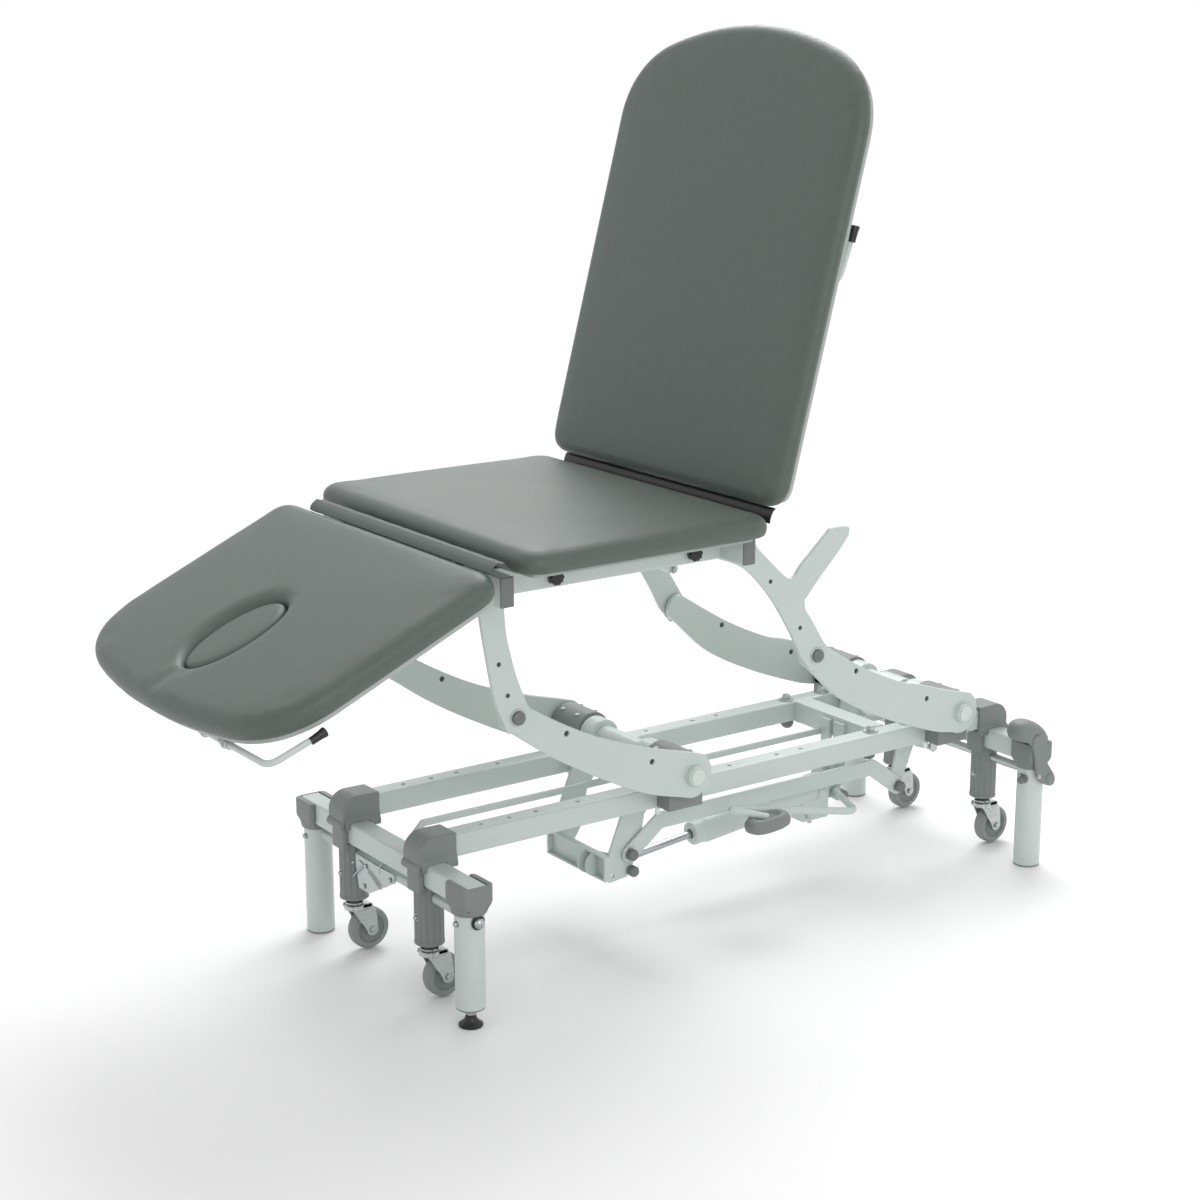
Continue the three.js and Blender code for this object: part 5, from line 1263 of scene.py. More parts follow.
chain = [(head_pivot.x + COUPLER_X, head_pivot.z + COUPLER_Z),
         (at(-0.140, 0, 0).x, 0.2115), (at(PIVOT_X["back"] - 0.1294, 0, 0).x, 0.2115),
         (back_pivot.x + COUPLER_X, back_pivot.z + COUPLER_Z)]
piece("coupler_strap", "coupler_bar", PAINT,
      plate(strap(chain, (0.017, 0.0165, 0.0165, 0.017)), *COUPLER_Y), soft=0.0016,
      replaces=["coupler_bar"], angle=40, segments=3)
for end, pivot in (("head", head_pivot), ("back", back_pivot)):
    eye = Vector((pivot.x + COUPLER_X, 0, pivot.z + COUPLER_Z))
    start = Vector((eye.x, -0.0945, eye.z))
    piece(f"coupler_pin_{end}", f"lift_arm_{end}", ZINC,
          rod(0.0079, start, start - Vector((0, 0.0085, 0))))
    outer = Vector((eye.x, COUPLER_Y[1] - 0.0004, eye.z))
    piece(f"coupler_washer_{end}", f"lift_arm_{end}", ZINC,
          washer(0.0135, 0.0014, outer, (0, -1, 0)))
    cap = [(0, 0), (0.0100, 0), (0.0108, 0.0012), (0.0108, 0.0085), (0.0092, 0.0108),
           (0.0040, 0.0116), (0, 0.0118)]
    start = outer - Vector((0, 0.0014, 0))
    piece(f"coupler_cap_{end}", f"lift_arm_{end}", CAP_GREY,
          lathe(cap, start, start - ACROSS, 40))
print("coupler done")

# %% Bearing saddles
CLAW_Z = 0.262
SADDLE_RADIUS = 0.0395
SADDLE_BORE = 0.0243  # clears the torque tube


def saddle(end, side, sy):
    node = f"bearing_saddle_{end}_{side}"
    low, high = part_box(node)
    x = (low.x + high.x) / 2
    half = 0.038
    y0, y1 = low.y, high.y
    outline = [(x - half, 0.3005), (x + half, 0.3005), (x + half, 0.318)]
    outline += arc_points((x, PIVOT_Z), SADDLE_RADIUS, -10, 190, 26)[1:-1]
    outline += [(x - half, 0.318)]
    shell = piece(f"saddle_{end}_{side}", "base", MOULDED, plate(outline, y0, y1),
                  replaces=[node], soft=0.003, segments=3, angle=40)
    bore = rod(SADDLE_BORE, (x, y0 - 0.01, PIVOT_Z), (x, y1 + 0.01, PIVOT_Z), 0, 48)
    drill(shell, bore)
    claw_y = (sy * 0.1503, sy * 0.188)
    claw = [(x - half, CLAW_Z), (x + half, CLAW_Z), (x + half, 0.312), (x - half, 0.312)]
    lower = piece(f"saddle_claw_{end}_{side}", "base", MOULDED, plate(claw, *claw_y), soft=0.003,
                  segments=3)
    drill(lower, bore)
    for number, (dx, across) in enumerate(((-0.021, 0.125), (0.021, 0.125), (-0.021, 0.172),
                                           (0.021, 0.172))):
        angle = math.asin(dx / SADDLE_RADIUS)
        top = Vector((x + dx, sy * across, PIVOT_Z + SADDLE_RADIUS * math.cos(angle) - 0.0006))
        piece(f"saddle_screw_{end}_{side}_{number}", "base", ZINC,
              lathe([(0, 0), (0.0042, 0), (0.0042, 0.0016), (0.0034, 0.0024), (0.0018, 0.0024),
                     (0.0016, 0.0012), (0, 0.0012)], top, top + Vector((dx * 0.4, 0, 0.04)), 20))
    for number, dx in enumerate((-0.029, 0.029)):
        foot = Vector((x + dx, sy * 0.141, 0.2581))
        piece(f"saddle_stud_{end}_{side}_{number}", "base", BRIGHT,
              washer(0.0074, 0.0012, foot, (0, 0, -1)),
              rod(0.0048, foot - Vector((0, 0, 0.001)), foot - Vector((0, 0, 0.0145)), 0.0010,
                  20))


for end, side, sx, sy in CORNERS:
    saddle(end, side, sy)
print("saddles done")

# %% [markdown]
# ## The pump
# The pump is the only machined machinery in sight: a painted barrel with a stepped nose, a
# bright rod, a block below it for the oil, and a bent pedal tube that ends in a rubber pad.

# %% Cylinder, rod and block
PUMP_Y = -0.045
pump_pivot = at(0.340, PUMP_Y, 0.182)
rod_eye = at(-0.203, PUMP_Y, 0.126)
pump_axis = (pump_pivot - rod_eye).normalized()


def on_axis(x):
    """The place on the pump's axis at a distance along the couch."""
    return pump_pivot + pump_axis * ((x + MIDDLE - pump_pivot.x) / pump_axis.x)


nose = on_axis(-0.027)
back_end = on_axis(0.300)
length = (back_end - nose).length
barrel = [(0.0088, 0), (0.0200, 0), (0.0222, 0.0016), (0.0228, 0.0040), (0.0228, 0.0200),
          (0.0238, 0.0250), (0.0254, 0.0300), (0.0258, 0.0340), (0.0258, length - 0.003),
          (0.0238, length), (0.0088, length)]
piece("pump_barrel", "pump", PAINT, lathe(barrel, nose, back_end, 64, closed=True),
      replaces=["pump_cylinder"])
seal = [(0.0078, -0.0010), (0.0098, -0.0010), (0.0106, 0.0002), (0.0088, 0.0024),
        (0.0078, 0.0024)]
piece("pump_seal", "pump", CAP_GREY, lathe(seal, nose, back_end, 40, closed=True))
ring = [(0.0256, 0), (0.0263, 0.0008), (0.0263, 0.0062), (0.0256, 0.0070)]
piece("pump_ring_0", "pump", ZINC,
      lathe(ring, nose + pump_axis * length * 0.90, back_end, 56, closed=True))
chamber_low, chamber_high = at(0.236, -0.065, 0.116), at(0.303, -0.025, 0.168)
piece("pump_chamber", "pump", PAINT, block(chamber_low, chamber_high), soft=0.004, segments=3)
for number, x in enumerate((0.248, 0.291)):
    piece(f"chamber_plug_{number}", "pump", ZINC,
          *bolt(0.0112, 0.0045, 0.0072, 0.001, at(x, -0.0655, 0.130), (0, -1, 0)))
valve = at(0.270, -0.045, 0.1164)
piece("pump_valve", "pump", CHROME, hex_head(0.0160, 0.0050, valve, (0, 0, -1)),
      rod(0.0045, valve - Vector((0, 0, 0.005)), valve - Vector((0, 0, 0.012))))
for y in ((-0.057, -0.049), (-0.018, -0.010)):
    cheek = [*arc_points((back_end.x - 0.014, back_end.z), 0.014, 90, 270, 10),
             *arc_points((pump_pivot.x, pump_pivot.z), 0.0138, -86, 94, 12)]
    piece(f"pump_cheek_{'near' if y[0] < -0.03 else 'far'}", "pump", PAINT, plate(cheek, *y),
          soft=0.0012)
piece("pump_bridge", "pump", PAINT,
      block(at(0.286, -0.052, back_end.z - 0.011), at(0.299, -0.014, back_end.z + 0.011)),
      block(at(0.290, -0.056, 0.1505), at(0.334, -0.048, 0.1695)), soft=0.001)
pedal_pin = at(0.325, -0.0485, 0.160)
piece("pedal_pin", "pump", ZINC,
      rod(0.0079, pedal_pin, pedal_pin - Vector((0, 0.0290, 0))),
      washer(0.0110, 0.0014, pedal_pin - Vector((0, 0.0260, 0)), (0, -1, 0)))
start = pedal_pin - Vector((0, 0.0272, 0))
piece("pedal_pin_cap", "pump", CAP_GREY, lathe(cap, start, start - ACROSS, 40))
rod_start = on_axis(0.144)
eye_ring = [(0.0061, 0), (0.0118, 0), (0.0130, 0.0012), (0.0130, 0.0148), (0.0118, 0.0160),
            (0.0061, 0.0160)]
start = rod_eye - Vector((0, 0.008, 0))
piece("piston_rod_bright", "piston_rod", CHROME,
      rod(0.0075, rod_eye + pump_axis * 0.0118, rod_start, 0.0006, 40), replaces=["piston_rod"])
piece("piston_rod_eye", "piston_rod", ZINC,
      lathe(eye_ring, start, start + ACROSS, 40, closed=True),
      rod(0.0096, rod_eye + pump_axis * 0.0105, rod_eye + pump_axis * 0.026, 0.001, 32),
      hex_head(0.0205, 0.0080, rod_eye + pump_axis * 0.0258, pump_axis))
for y in (-0.0575, -0.0085):
    sign = -1 if y < -0.03 else 1
    face = Vector((pump_pivot.x, y, pump_pivot.z))
    piece(f"pump_pin_{sign + 1}", "pump", ZINC, washer(0.0094, 0.0012, face, (0, sign, 0)))
print("pump length", round(length, 4))

# %% Pump pedal
hub_start = Vector((pedal_pin.x, -0.058, pedal_pin.z))
hub = [(0.0083, 0), (0.0122, 0), (0.0136, 0.0014), (0.0136, 0.0126), (0.0122, 0.0140),
       (0.0083, 0.0140)]
route = [at(0.318, -0.0655, 0.167), at(0.262, -0.190, 0.172), at(-0.040, -0.168, 0.232),
         at(0.031, -0.204, 0.2125)]
piece("pump_pedal_tube", "pump_pedal", PAINT,
      bent_bar(0.007, route, 0.026, 28), replaces=["pump_pedal"])
piece("pump_pedal_hub", "pump_pedal", PAINT,
      lathe(hub, hub_start, hub_start - ACROSS, 40, closed=True))
foot_pad("pump_pedal_pad", "pump_pedal", at(0.031, -0.204, 0.2035), 0.096, 0.052, 0.027,
         math.radians(-4))
print("pump pedal done")

# %% [markdown]
# ## The upper frame
# The upper frame is bent plate and square tube. The uprights are the most drawn part of the
# couch: long curved blades that start under the cushions and end in a round eye on the arm's
# pin, one of them with a branch that stops the back rest.

# %% Uprights
UPRIGHT_Y = (0.211, 0.219)
TUBE_Z = (0.729, 0.779)
UPRIGHT_SHARES = {
    "head": [(-0.174, 0.45), (-0.16, 0.361), (-0.141, 0.255), (-0.122, 0.153), (-0.103, 0.075),
             (-0.075, 0.005), (-0.041, -0.063), (0.048, 0.043), (0.0, 0.166), (-0.028, 0.262),
             (-0.051, 0.37), (-0.063, 0.54), (-0.18, 0.54)],
    "back": [(-0.545, 0.56), (-0.545, 0.505), (-0.459, 0.471), (-0.399, 0.436), (-0.34, 0.381),
             (-0.286, 0.321), (-0.23, 0.247), (-0.147, 0.115), (-0.089, 0.005), (-0.024, -0.072),
             (0.047, 0.042), (-0.031, 0.163), (-0.068, 0.217), (-0.076, 0.257), (-0.01, 0.33),
             (0.11, 0.45), (0.167, 0.515), (0.16, 0.552), (0.062, 0.558), (-0.029, 0.478),
             (-0.095, 0.421), (-0.132, 0.377), (-0.166, 0.368), (-0.228, 0.417), (-0.342, 0.526),
             (-0.36, 0.56)],
}
# Runs of points that a smooth curve passes through; the points between runs stay corners.
SMOOTH_RUNS = {
    "head": [(0, 6), (7, 11)],
    "back": [(1, 8), (10, 13), (13, 16), (16, 18), (18, 21), (21, 24)],
}
EYE_RADIUS = 0.066 * ARM_LENGTH


def upright_outline(end):
    tip = at(PIVOT_X[end], 0, PIVOT_Z) + ARM_RISE
    corners = [(tip.x + x * ARM_LENGTH, tip.z + z * ARM_LENGTH) for x, z in UPRIGHT_SHARES[end]]
    outline, index = [], 0
    starts = dict(SMOOTH_RUNS[end])
    while index < len(corners):
        if index in starts:
            stop = starts[index]
            outline += smooth_through(corners[index:stop + 1], 7)[:-1]
            index = stop
        else:
            outline.append(corners[index])
            index += 1
    return outline, (tip.x, tip.z)


def upright(end, side, sy):
    outline, tip = upright_outline(end)
    y0, y1 = (sy * y for y in UPRIGHT_Y)
    piece(f"upright_{end}_{side}", "upper", PAINT, plate(outline, y0, y1), soft=0.0016,
          segments=3, angle=40)
    eye = piece(f"upright_eye_{end}_{side}", "upper", PAINT,
                plate(arc_points(tip, EYE_RADIUS, 0, 352, 44), y0 + sy * 0.00005,
                      y1 + sy * 0.00005), soft=0.0016, segments=3, angle=40)
    drill(eye, rod(0.0084, (tip[0], y0 - sy * 0.01, tip[1]), (tip[0], y1 + sy * 0.01, tip[1]), 0,
                   32))
    # Dark discs in the bore finish stand for the holes through the upright: painted shade.
    hole_shades = {"head": [(-0.088, 0.235), (-0.047, 0.10)], "back": [(-0.10, 0.14), (-0.27, 0.37)]}
    for number, (across, rise) in enumerate(hole_shades[end]):
        place = (tip[0] + across * ARM_LENGTH, y1 - sy * 0.0006, tip[1] + rise * ARM_LENGTH)
        piece(f"upright_rivet_{end}_{side}_{number}", "upper", BORE_SHADE,
              rod(0.0042, place, (place[0], y1 + sy * 0.0003, place[2]), 0.0002, 24))


for end, side, sx, sy in CORNERS:
    upright(end, side, sy)
print("uprights done")

# %% Square tubes, end caps and knobs
HEAD_CROSS, BACK_CROSS = -0.598, -0.095
TUBE_HALF = 0.0125
CROSS_END = 0.290
SIDE_TUBE = 0.215
HINGE_Z, HINGE_Y, HINGE_WIDTH = 0.787, 0.190, 0.024
HEAD_HINGE, BACK_HINGE = -0.604, -0.060


def knob(start, sy):
    """A knob with ten shallow waves round its rim."""
    rows = [(0.0078, 0), (0.0082, 0.0030), (0.0122, 0.0042), (0.0130, 0.0056),
            (0.0130, 0.0108), (0.0118, 0.0124), (0.0060, 0.0128)]

    def on_knob(radius, out, a):
        reach = radius + (0.0007 * math.cos(10 * a) if radius > 0.0115 else 0)
        return start + Vector((reach * math.cos(a), sy * out, reach * math.sin(a)))

    return stack([on_knob(radius, out, a) for a in turns(60)] for radius, out in rows)


for name, x in (("head", HEAD_CROSS), ("back", BACK_CROSS)):
    tube = piece(f"upper_cross_{name}", "upper", PAINT,
                 block(at(x - TUBE_HALF, -CROSS_END, TUBE_Z[0]),
                       at(x + TUBE_HALF, CROSS_END, TUBE_Z[1])), soft=0.003, segments=3,
                 replaces=["upper_frame"] if name == "head" else [])
    if name == "head":
        rooms = [rod(0.030, at(HEAD_HINGE, s * HINGE_Y - 0.013, HINGE_Z),
                     at(HEAD_HINGE, s * HINGE_Y + 0.013, HINGE_Z), 0, 48) for s in (-1, 1)]
        drill(tube, *rooms)
    for side, sy in SIDES:
        rim = 0.0004
        low = at(x - TUBE_HALF - rim, sy * (CROSS_END - 0.001), TUBE_Z[0] - rim)
        high = at(x + TUBE_HALF + rim, sy * (CROSS_END + 0.0035), TUBE_Z[1] + rim)
        piece(f"upper_cap_{name}_{side}", "upper", CAP_GREY, block(low, high), soft=0.0018,
              segments=3)
for side, sy in SIDES:
    piece(f"upper_side_{side}", "upper", PAINT,
          block(at(HEAD_CROSS, sy * SIDE_TUBE - TUBE_HALF, TUBE_Z[0] + 0.0002),
                at(BACK_CROSS, sy * SIDE_TUBE + TUBE_HALF, TUBE_Z[1] - 0.0002)), soft=0.003,
          segments=3)
    for number, x in enumerate((-0.463, -0.170)):
        face = at(x, sy * (SIDE_TUBE + TUBE_HALF), 0.7485)
        piece(f"knob_washer_{side}_{number}", "upper", ZINC,
              washer(0.0142, 0.0016, face, (0, sy, 0)))
        piece(f"knob_{side}_{number}", "upper", BLACK, knob(face + ACROSS * sy * 0.0014, sy),
              angle=50)
print("upper tubes done")


# %% Hinge ears, pins and strut feet
def link_outline(a, ra, b, rb, steps=9):
    """A link between two round ends in the (x, z) plane."""
    angle = math.degrees(math.atan2(b[1] - a[1], b[0] - a[0]))
    return (arc_points(a, ra, angle + 90, angle + 270, steps)
            + arc_points(b, rb, angle - 90, angle + 90, steps))


for name, hinge, tube_x in (("head", HEAD_HINGE, HEAD_CROSS), ("back", BACK_HINGE, BACK_CROSS)):
    shells, pins = [], []
    ear = link_outline((hinge + MIDDLE, HINGE_Z), 0.010,
                       (tube_x + MIDDLE, TUBE_Z[1] - 0.010), 0.010)
    for s in (-1, 1):
        for t in (-1, 1):
            middle = s * HINGE_Y + t * (HINGE_WIDTH * 0.75 + 0.001)
            shells.append(plate(ear, middle - 0.006, middle + 0.006))
            face = at(hinge, s * HINGE_Y + t * (HINGE_WIDTH + 0.0008), HINGE_Z)
            pins += bolt(0.0128, 0.0042, 0.0084, 0.0010, face, (0, t, 0))
        pins.append(rod(0.0048, at(hinge, s * HINGE_Y - 0.0245, HINGE_Z),
                        at(hinge, s * HINGE_Y + 0.0245, HINGE_Z)))
    piece(f"hinge_ears_{name}", "upper", PAINT, *shells, soft=0.0009)
    piece(f"hinge_pins_{name}", "upper", ZINC, *pins)

STRUT_EYE = 0.009
STRUT_FOOT = {"back": (-0.050, 0.660), "head": (-0.560, 0.630)}
for name, tube_x in (("back", BACK_CROSS), ("head", HEAD_CROSS)):
    foot = STRUT_FOOT[name]
    a = (foot[0] + MIDDLE, foot[1])
    b = (tube_x + MIDDLE, TUBE_Z[0] + STRUT_EYE)
    shells = [plate(link_outline(a, STRUT_EYE, b, STRUT_EYE), s * 0.013, s * 0.018)
              for s in (-1, 1)]
    piece(f"strut_foot_{name}", "upper", PAINT, *shells, soft=0.0009)
    pin = [rod(0.0043, at(foot[0], -0.018, foot[1]), at(foot[0], 0.018, foot[1]))]
    for s in (-1, 1):
        pin += bolt(0.0108, 0.0038, 0.0072, 0.0008, at(foot[0], s * 0.018, foot[1]), (0, s, 0))
    piece(f"strut_pin_{name}", "upper", ZINC, *pin)
print("hinges done")

# %% [markdown]
# ## Boards, levers and struts
# The head and back cushions lie on pale boards, and each board is carried by two steel beams
# that end in hinge arms. Their shapes are made flat, in a section's own plane, and then set up
# at the section's slope, because that is how a workshop would draw them.

# %% A section's own plane
def section(turn, pitch, x, z):
    place = Matrix.Translation(at(x, 0, z))
    return place @ Matrix.Rotation(math.radians(pitch), 4, "Y") @ Matrix.Rotation(
        math.radians(turn), 4, "Z")


HEAD_SLOPE, BACK_SLOPE = 24.1, 75.1
SECTIONS = {
    "head": section(180, -HEAD_SLOPE, -0.652, 0.8155),
    "back": section(0, -BACK_SLOPE, -0.094, 0.8335),
    "seat": section(0, 0, -0.600, 0.832),
}


def in_section(place, *shells):
    """Shells drawn in a section's own plane, set up at its slope."""
    def build(bm):
        for shell in shells:
            before = set(bm.verts)
            shell(bm)
            for vert in bm.verts:
                if vert not in before:
                    vert.co = place @ vert.co
    return build


def quadratic(a, b, c, steps):
    a, b, c = Vector(a), Vector(b), Vector(c)
    return [tuple(a * (1 - t) ** 2 + b * 2 * t * (1 - t) + c * t * t)
            for t in (i / steps for i in range(steps))]


def slab_plan(length, half, near, far, bow, steps=14):
    """The plan of a cushion, square to its hinge and bowed at its free end."""
    side = length - bow
    far_y = half - far
    far_x = side + bow * (1 - (far_y / half) ** 2)
    control = far_x + 2 * bow * (far_y / half) ** 2
    plan = quadratic((0, -half + near), (0, -half), (near, -half), steps)
    plan += quadratic((side - far, -half), (side, -half), (far_x, -far_y), steps)
    plan += quadratic((far_x, -far_y), (control, 0), (far_x, far_y), 2 * steps)
    plan += quadratic((far_x, far_y), (side, half), (side - far, half), steps)
    plan += quadratic((near, half), (0, half), (0, half - near), steps)
    plan.append((0, half - near))
    return plan


SLABS = {
    "head": dict(length=0.511, half=0.357, near=0.052, far=0.127, bow=0.0515),
    "back": dict(length=0.842, half=0.350, near=0.052, far=0.108, bow=0.087),
    "seat": dict(length=0.521, half=0.357, near=0.052, far=0.052, bow=0.0),
}
THICKNESS = {"head": 0.048, "back": 0.040, "seat": 0.0445}
BOARD_THICKNESS = 0.008


def inset_plan(plan, inset):
    count = len(plan)
    moved = []
    for i, (x, y) in enumerate(plan):
        before, after = Vector(plan[i - 1]), Vector(plan[(i + 1) % count])
        along = after - before
        inward = Vector((-along.y, along.x)).normalized() * inset
        moved.append((x + inward.x, y + inward.y))
    return moved


# %% Boards and beams
FACE_HOLE = (0.322, 0.100, 0.058)  # distance from the hinge edge, half length, half width


def oval(middle, half_x, half_y, steps=56):
    return [(middle + half_x * math.cos(a), half_y * math.sin(a)) for a in turns(steps)]


BEAM_Y, BEAM_WIDTH, BEAM_HEIGHT, BEAM_START = 0.150, 0.022, 0.022, 0.020
LEVER_ALONG = {"head": 0.477, "back": 0.405}  # from a cushion's hinge edge
LEVER_DROP = 0.066
STRUT_ROOM = 0.028


def board(name, hinge_x):
    lever_along = LEVER_ALONG[name]
    place = SECTIONS[name]
    body = f"{name}_section"
    thick = THICKNESS[name]
    board_z = -thick - 0.0003 - BOARD_THICKNESS
    plan = inset_plan(slab_plan(**SLABS[name]), 0.014)
    slab = piece(f"board_{name}", body, BOARD,
                 in_section(place, standing(plan, board_z, board_z + BOARD_THICKNESS)),
                 soft=0.0012, angle=40, replaces=[f"{name}_panel"])
    if name == "head":
        along, half_x, half_y = FACE_HOLE
        hole = standing(oval(along, half_x - 0.010, half_y - 0.010), board_z - 0.02, 0.0)
        drill(slab, in_section(place, hole))
    cut = rooms_for_hinges(thick)
    drill(slab, in_section(place, *cut))
    low, high = board_z - BEAM_HEIGHT, board_z + 0.0003
    reach = SLABS[name]["length"] * 0.86
    beams = [block((BEAM_START, s * BEAM_Y - BEAM_WIDTH / 2, low),
                   (reach, s * BEAM_Y + BEAM_WIDTH / 2, high)) for s in (-1, 1)]
    beams += [block((BEAM_START, s * STRUT_ROOM, low),
                    (BEAM_START + BEAM_WIDTH, s * (HINGE_Y + HINGE_WIDTH / 2), high))
              for s in (-1, 1)]
    piece(f"beams_{name}", body, PAINT, in_section(place, *beams), soft=0.002)
    ends = [block((reach - 0.001, s * BEAM_Y - BEAM_WIDTH / 2 - 0.0003, low - 0.0003),
                  (reach + 0.003, s * BEAM_Y + BEAM_WIDTH / 2 + 0.0003, high - 0.0006))
            for s in (-1, 1)]
    piece(f"beam_ends_{name}", body, CAP_GREY, in_section(place, *ends), soft=0.001)
    hinge = place.inverted() @ at(hinge_x, 0, HINGE_Z)
    arms = []
    start = (BEAM_START + 0.040, board_z - BEAM_HEIGHT / 2)
    for s in (-1, 1):
        arms.append(plate(link_outline((hinge.x, hinge.z), 0.0098, start, 0.009),
                          s * HINGE_Y - HINGE_WIDTH / 2, s * HINGE_Y + HINGE_WIDTH / 2))
    piece(f"hinge_arms_{name}", body, PAINT, in_section(place, *arms), soft=0.0012)
    brackets = []
    for y in (-0.120, -0.190):
        across = -y if name == "head" else y
        outline = [*arc_points((lever_along, -LEVER_DROP), 0.0098, 170, 370, 12),
                   (lever_along + 0.0098, board_z + 0.0003),
                   (lever_along - 0.0098, board_z + 0.0003)]
        step = 0.005 if name == "head" else -0.005
        brackets.append(plate(outline, across, across + step))
    piece(f"lever_brackets_{name}", body, PAINT, in_section(place, *brackets), soft=0.0006)
    screws = []
    for along in (0.14, 0.36, 0.62) if name == "back" else (0.12, 0.41):
        for s in (-1, 1):
            screws += bolt(0.0112, 0.0040, 0.0072, 0.0010,
                           (along, s * (BEAM_Y + 0.032), board_z), -UP)
    piece(f"board_screws_{name}", body, ZINC, in_section(place, *screws))
    return board_z


def rooms_for_hinges(thick):
    """Room at the hinge edge of a board, where the hinge arms pass."""
    return [block((-0.02, s * HINGE_Y - 0.0135, -thick - 0.03),
                  (0.034, s * HINGE_Y + 0.0135, -thick + 0.001)) for s in (-1, 1)]


BOARD_Z = {"head": board("head", HEAD_HINGE), "back": board("back", BACK_HINGE)}
seat_plan = inset_plan(slab_plan(**SLABS["seat"]), 0.030)
piece("board_seat", "upper", BOARD,
      in_section(SECTIONS["seat"], standing(seat_plan, -0.0525, -0.0445)), soft=0.0012, angle=40)
print("boards done", {k: round(v, 4) for k, v in BOARD_Z.items()})


# %% Release levers
def lever(name, direction):
    place = SECTIONS[name]
    along = LEVER_ALONG[name]
    body = f"{name}_release_lever"
    out = -1 if name == "head" else 1
    drop = -LEVER_DROP
    reach = 0.102
    outer = {"head": 0.335, "back": 0.313}[name]
    route = [(along, out * -0.060, drop), (along, out * -outer, drop),
             (along + direction * (reach - 0.003), out * -(outer + 0.012), drop)]
    piece(f"lever_rod_{name}", body, PAINT,
          in_section(place, bent_bar(0.0055, route, 0.022, 22)), replaces=[body])
    tip_start = Vector((along + direction * (reach - 0.029), out * -(outer + 0.012), drop))
    tip_end = Vector((along + direction * reach, out * -(outer + 0.012), drop))
    tip = [(0.0056, 0), (0.0064, 0.0006), (0.0066, 0.0060), (0.0072, 0.0180), (0.0084, 0.0262),
           (0.0078, 0.0284), (0.0060, 0.0290), (0, 0.0290)]
    piece(f"lever_tip_{name}", body, BLACK,
          in_section(place, lathe([(0, 0), *tip], tip_start, tip_end, 32)))
    rings = [lathe([(0.0056, 0), (0.0082, 0), (0.0082, 0.004), (0.0056, 0.004)],
                   (along, out * y, drop), (along, out * (y - 1), drop), 28, closed=True)
             for y in (-0.1120, -0.2030)]
    piece(f"lever_rings_{name}", body, ZINC, in_section(place, *rings))


lever("head", -1)
lever("back", 1)
print("levers done")


# %% Gas struts
def strut_piece(name, hinge, crank, crank_angle, tube_length, rod_length):
    foot = at(STRUT_FOOT[name][0], 0, STRUT_FOOT[name][1])
    eye = at(hinge, 0, HINGE_Z) + Vector((crank * math.cos(crank_angle), 0,
                                          crank * math.sin(crank_angle)))
    along = (eye - foot).normalized()
    reach = (eye - foot).length
    tube = [(0.0048, 0.0130), (0.0048, tube_length), (0.0085, tube_length),
            (0.0104, tube_length - 0.002), (0.0108, tube_length - 0.006), (0.0108, 0.0130),
            (0.0098, 0.0108), (0.0060, 0.0095)]
    piece(f"strut_tube_{name}", f"{name}_strut_tube", BLACK,
          lathe(tube, foot, eye, 40, closed=True), replaces=[f"{name}_strut_tube"])

    def eye_ring(middle):
        start = middle - Vector((0, 0.012, 0))
        return lathe([(0.0048, 0), (0.0082, 0), (0.0090, 0.0008), (0.0090, 0.0232),
                      (0.0082, 0.024), (0.0048, 0.024)], start, start + ACROSS, 32,
                     closed=True)
    piece(f"strut_low_eye_{name}", f"{name}_strut_tube", ZINC, eye_ring(foot),
          rod(0.0056, foot + along * 0.0085, foot + along * 0.0128, 0.0004, 24))
    piece(f"strut_rod_{name}", f"{name}_strut_rod", CHROME,
          rod(0.0044, foot + along * (reach - rod_length), eye - along * 0.008, 0.0004, 28),
          replaces=[f"{name}_strut_rod"])
    piece(f"strut_high_eye_{name}", f"{name}_strut_rod", ZINC, eye_ring(eye),
          rod(0.0062, eye - along * 0.0085, eye - along * 0.017, 0.0006, 24))
    place = SECTIONS[name]
    in_plane = place.inverted() @ eye
    cheeks, pins = [], []
    for s in (-1, 1):
        outline = [*arc_points((in_plane.x, in_plane.z), 0.009, 170, 370, 12),
                   (in_plane.x + 0.009, BOARD_Z[name] + 0.0003),
                   (in_plane.x - 0.009, BOARD_Z[name] + 0.0003)]
        cheeks.append(plate(outline, s * 0.017, s * 0.022))
        pins += bolt(0.0108, 0.0036, 0.0072, 0.0008, (in_plane.x, s * 0.022, in_plane.z),
                     (0, s, 0))
    pins.append(rod(0.0043, (in_plane.x, -0.022, in_plane.z), (in_plane.x, 0.022, in_plane.z)))
    piece(f"strut_bracket_{name}", f"{name}_section", PAINT, in_section(place, *cheeks),
          soft=0.0008)
    piece(f"strut_bracket_pin_{name}", f"{name}_section", ZINC, in_section(place, *pins))


strut_piece("head", HEAD_HINGE, 0.065, math.radians(205 + HEAD_SLOPE), 0.105, 0.096)
strut_piece("back", BACK_HINGE, 0.090, math.radians(-15 + BACK_SLOPE), 0.112, 0.112)
print("struts done")
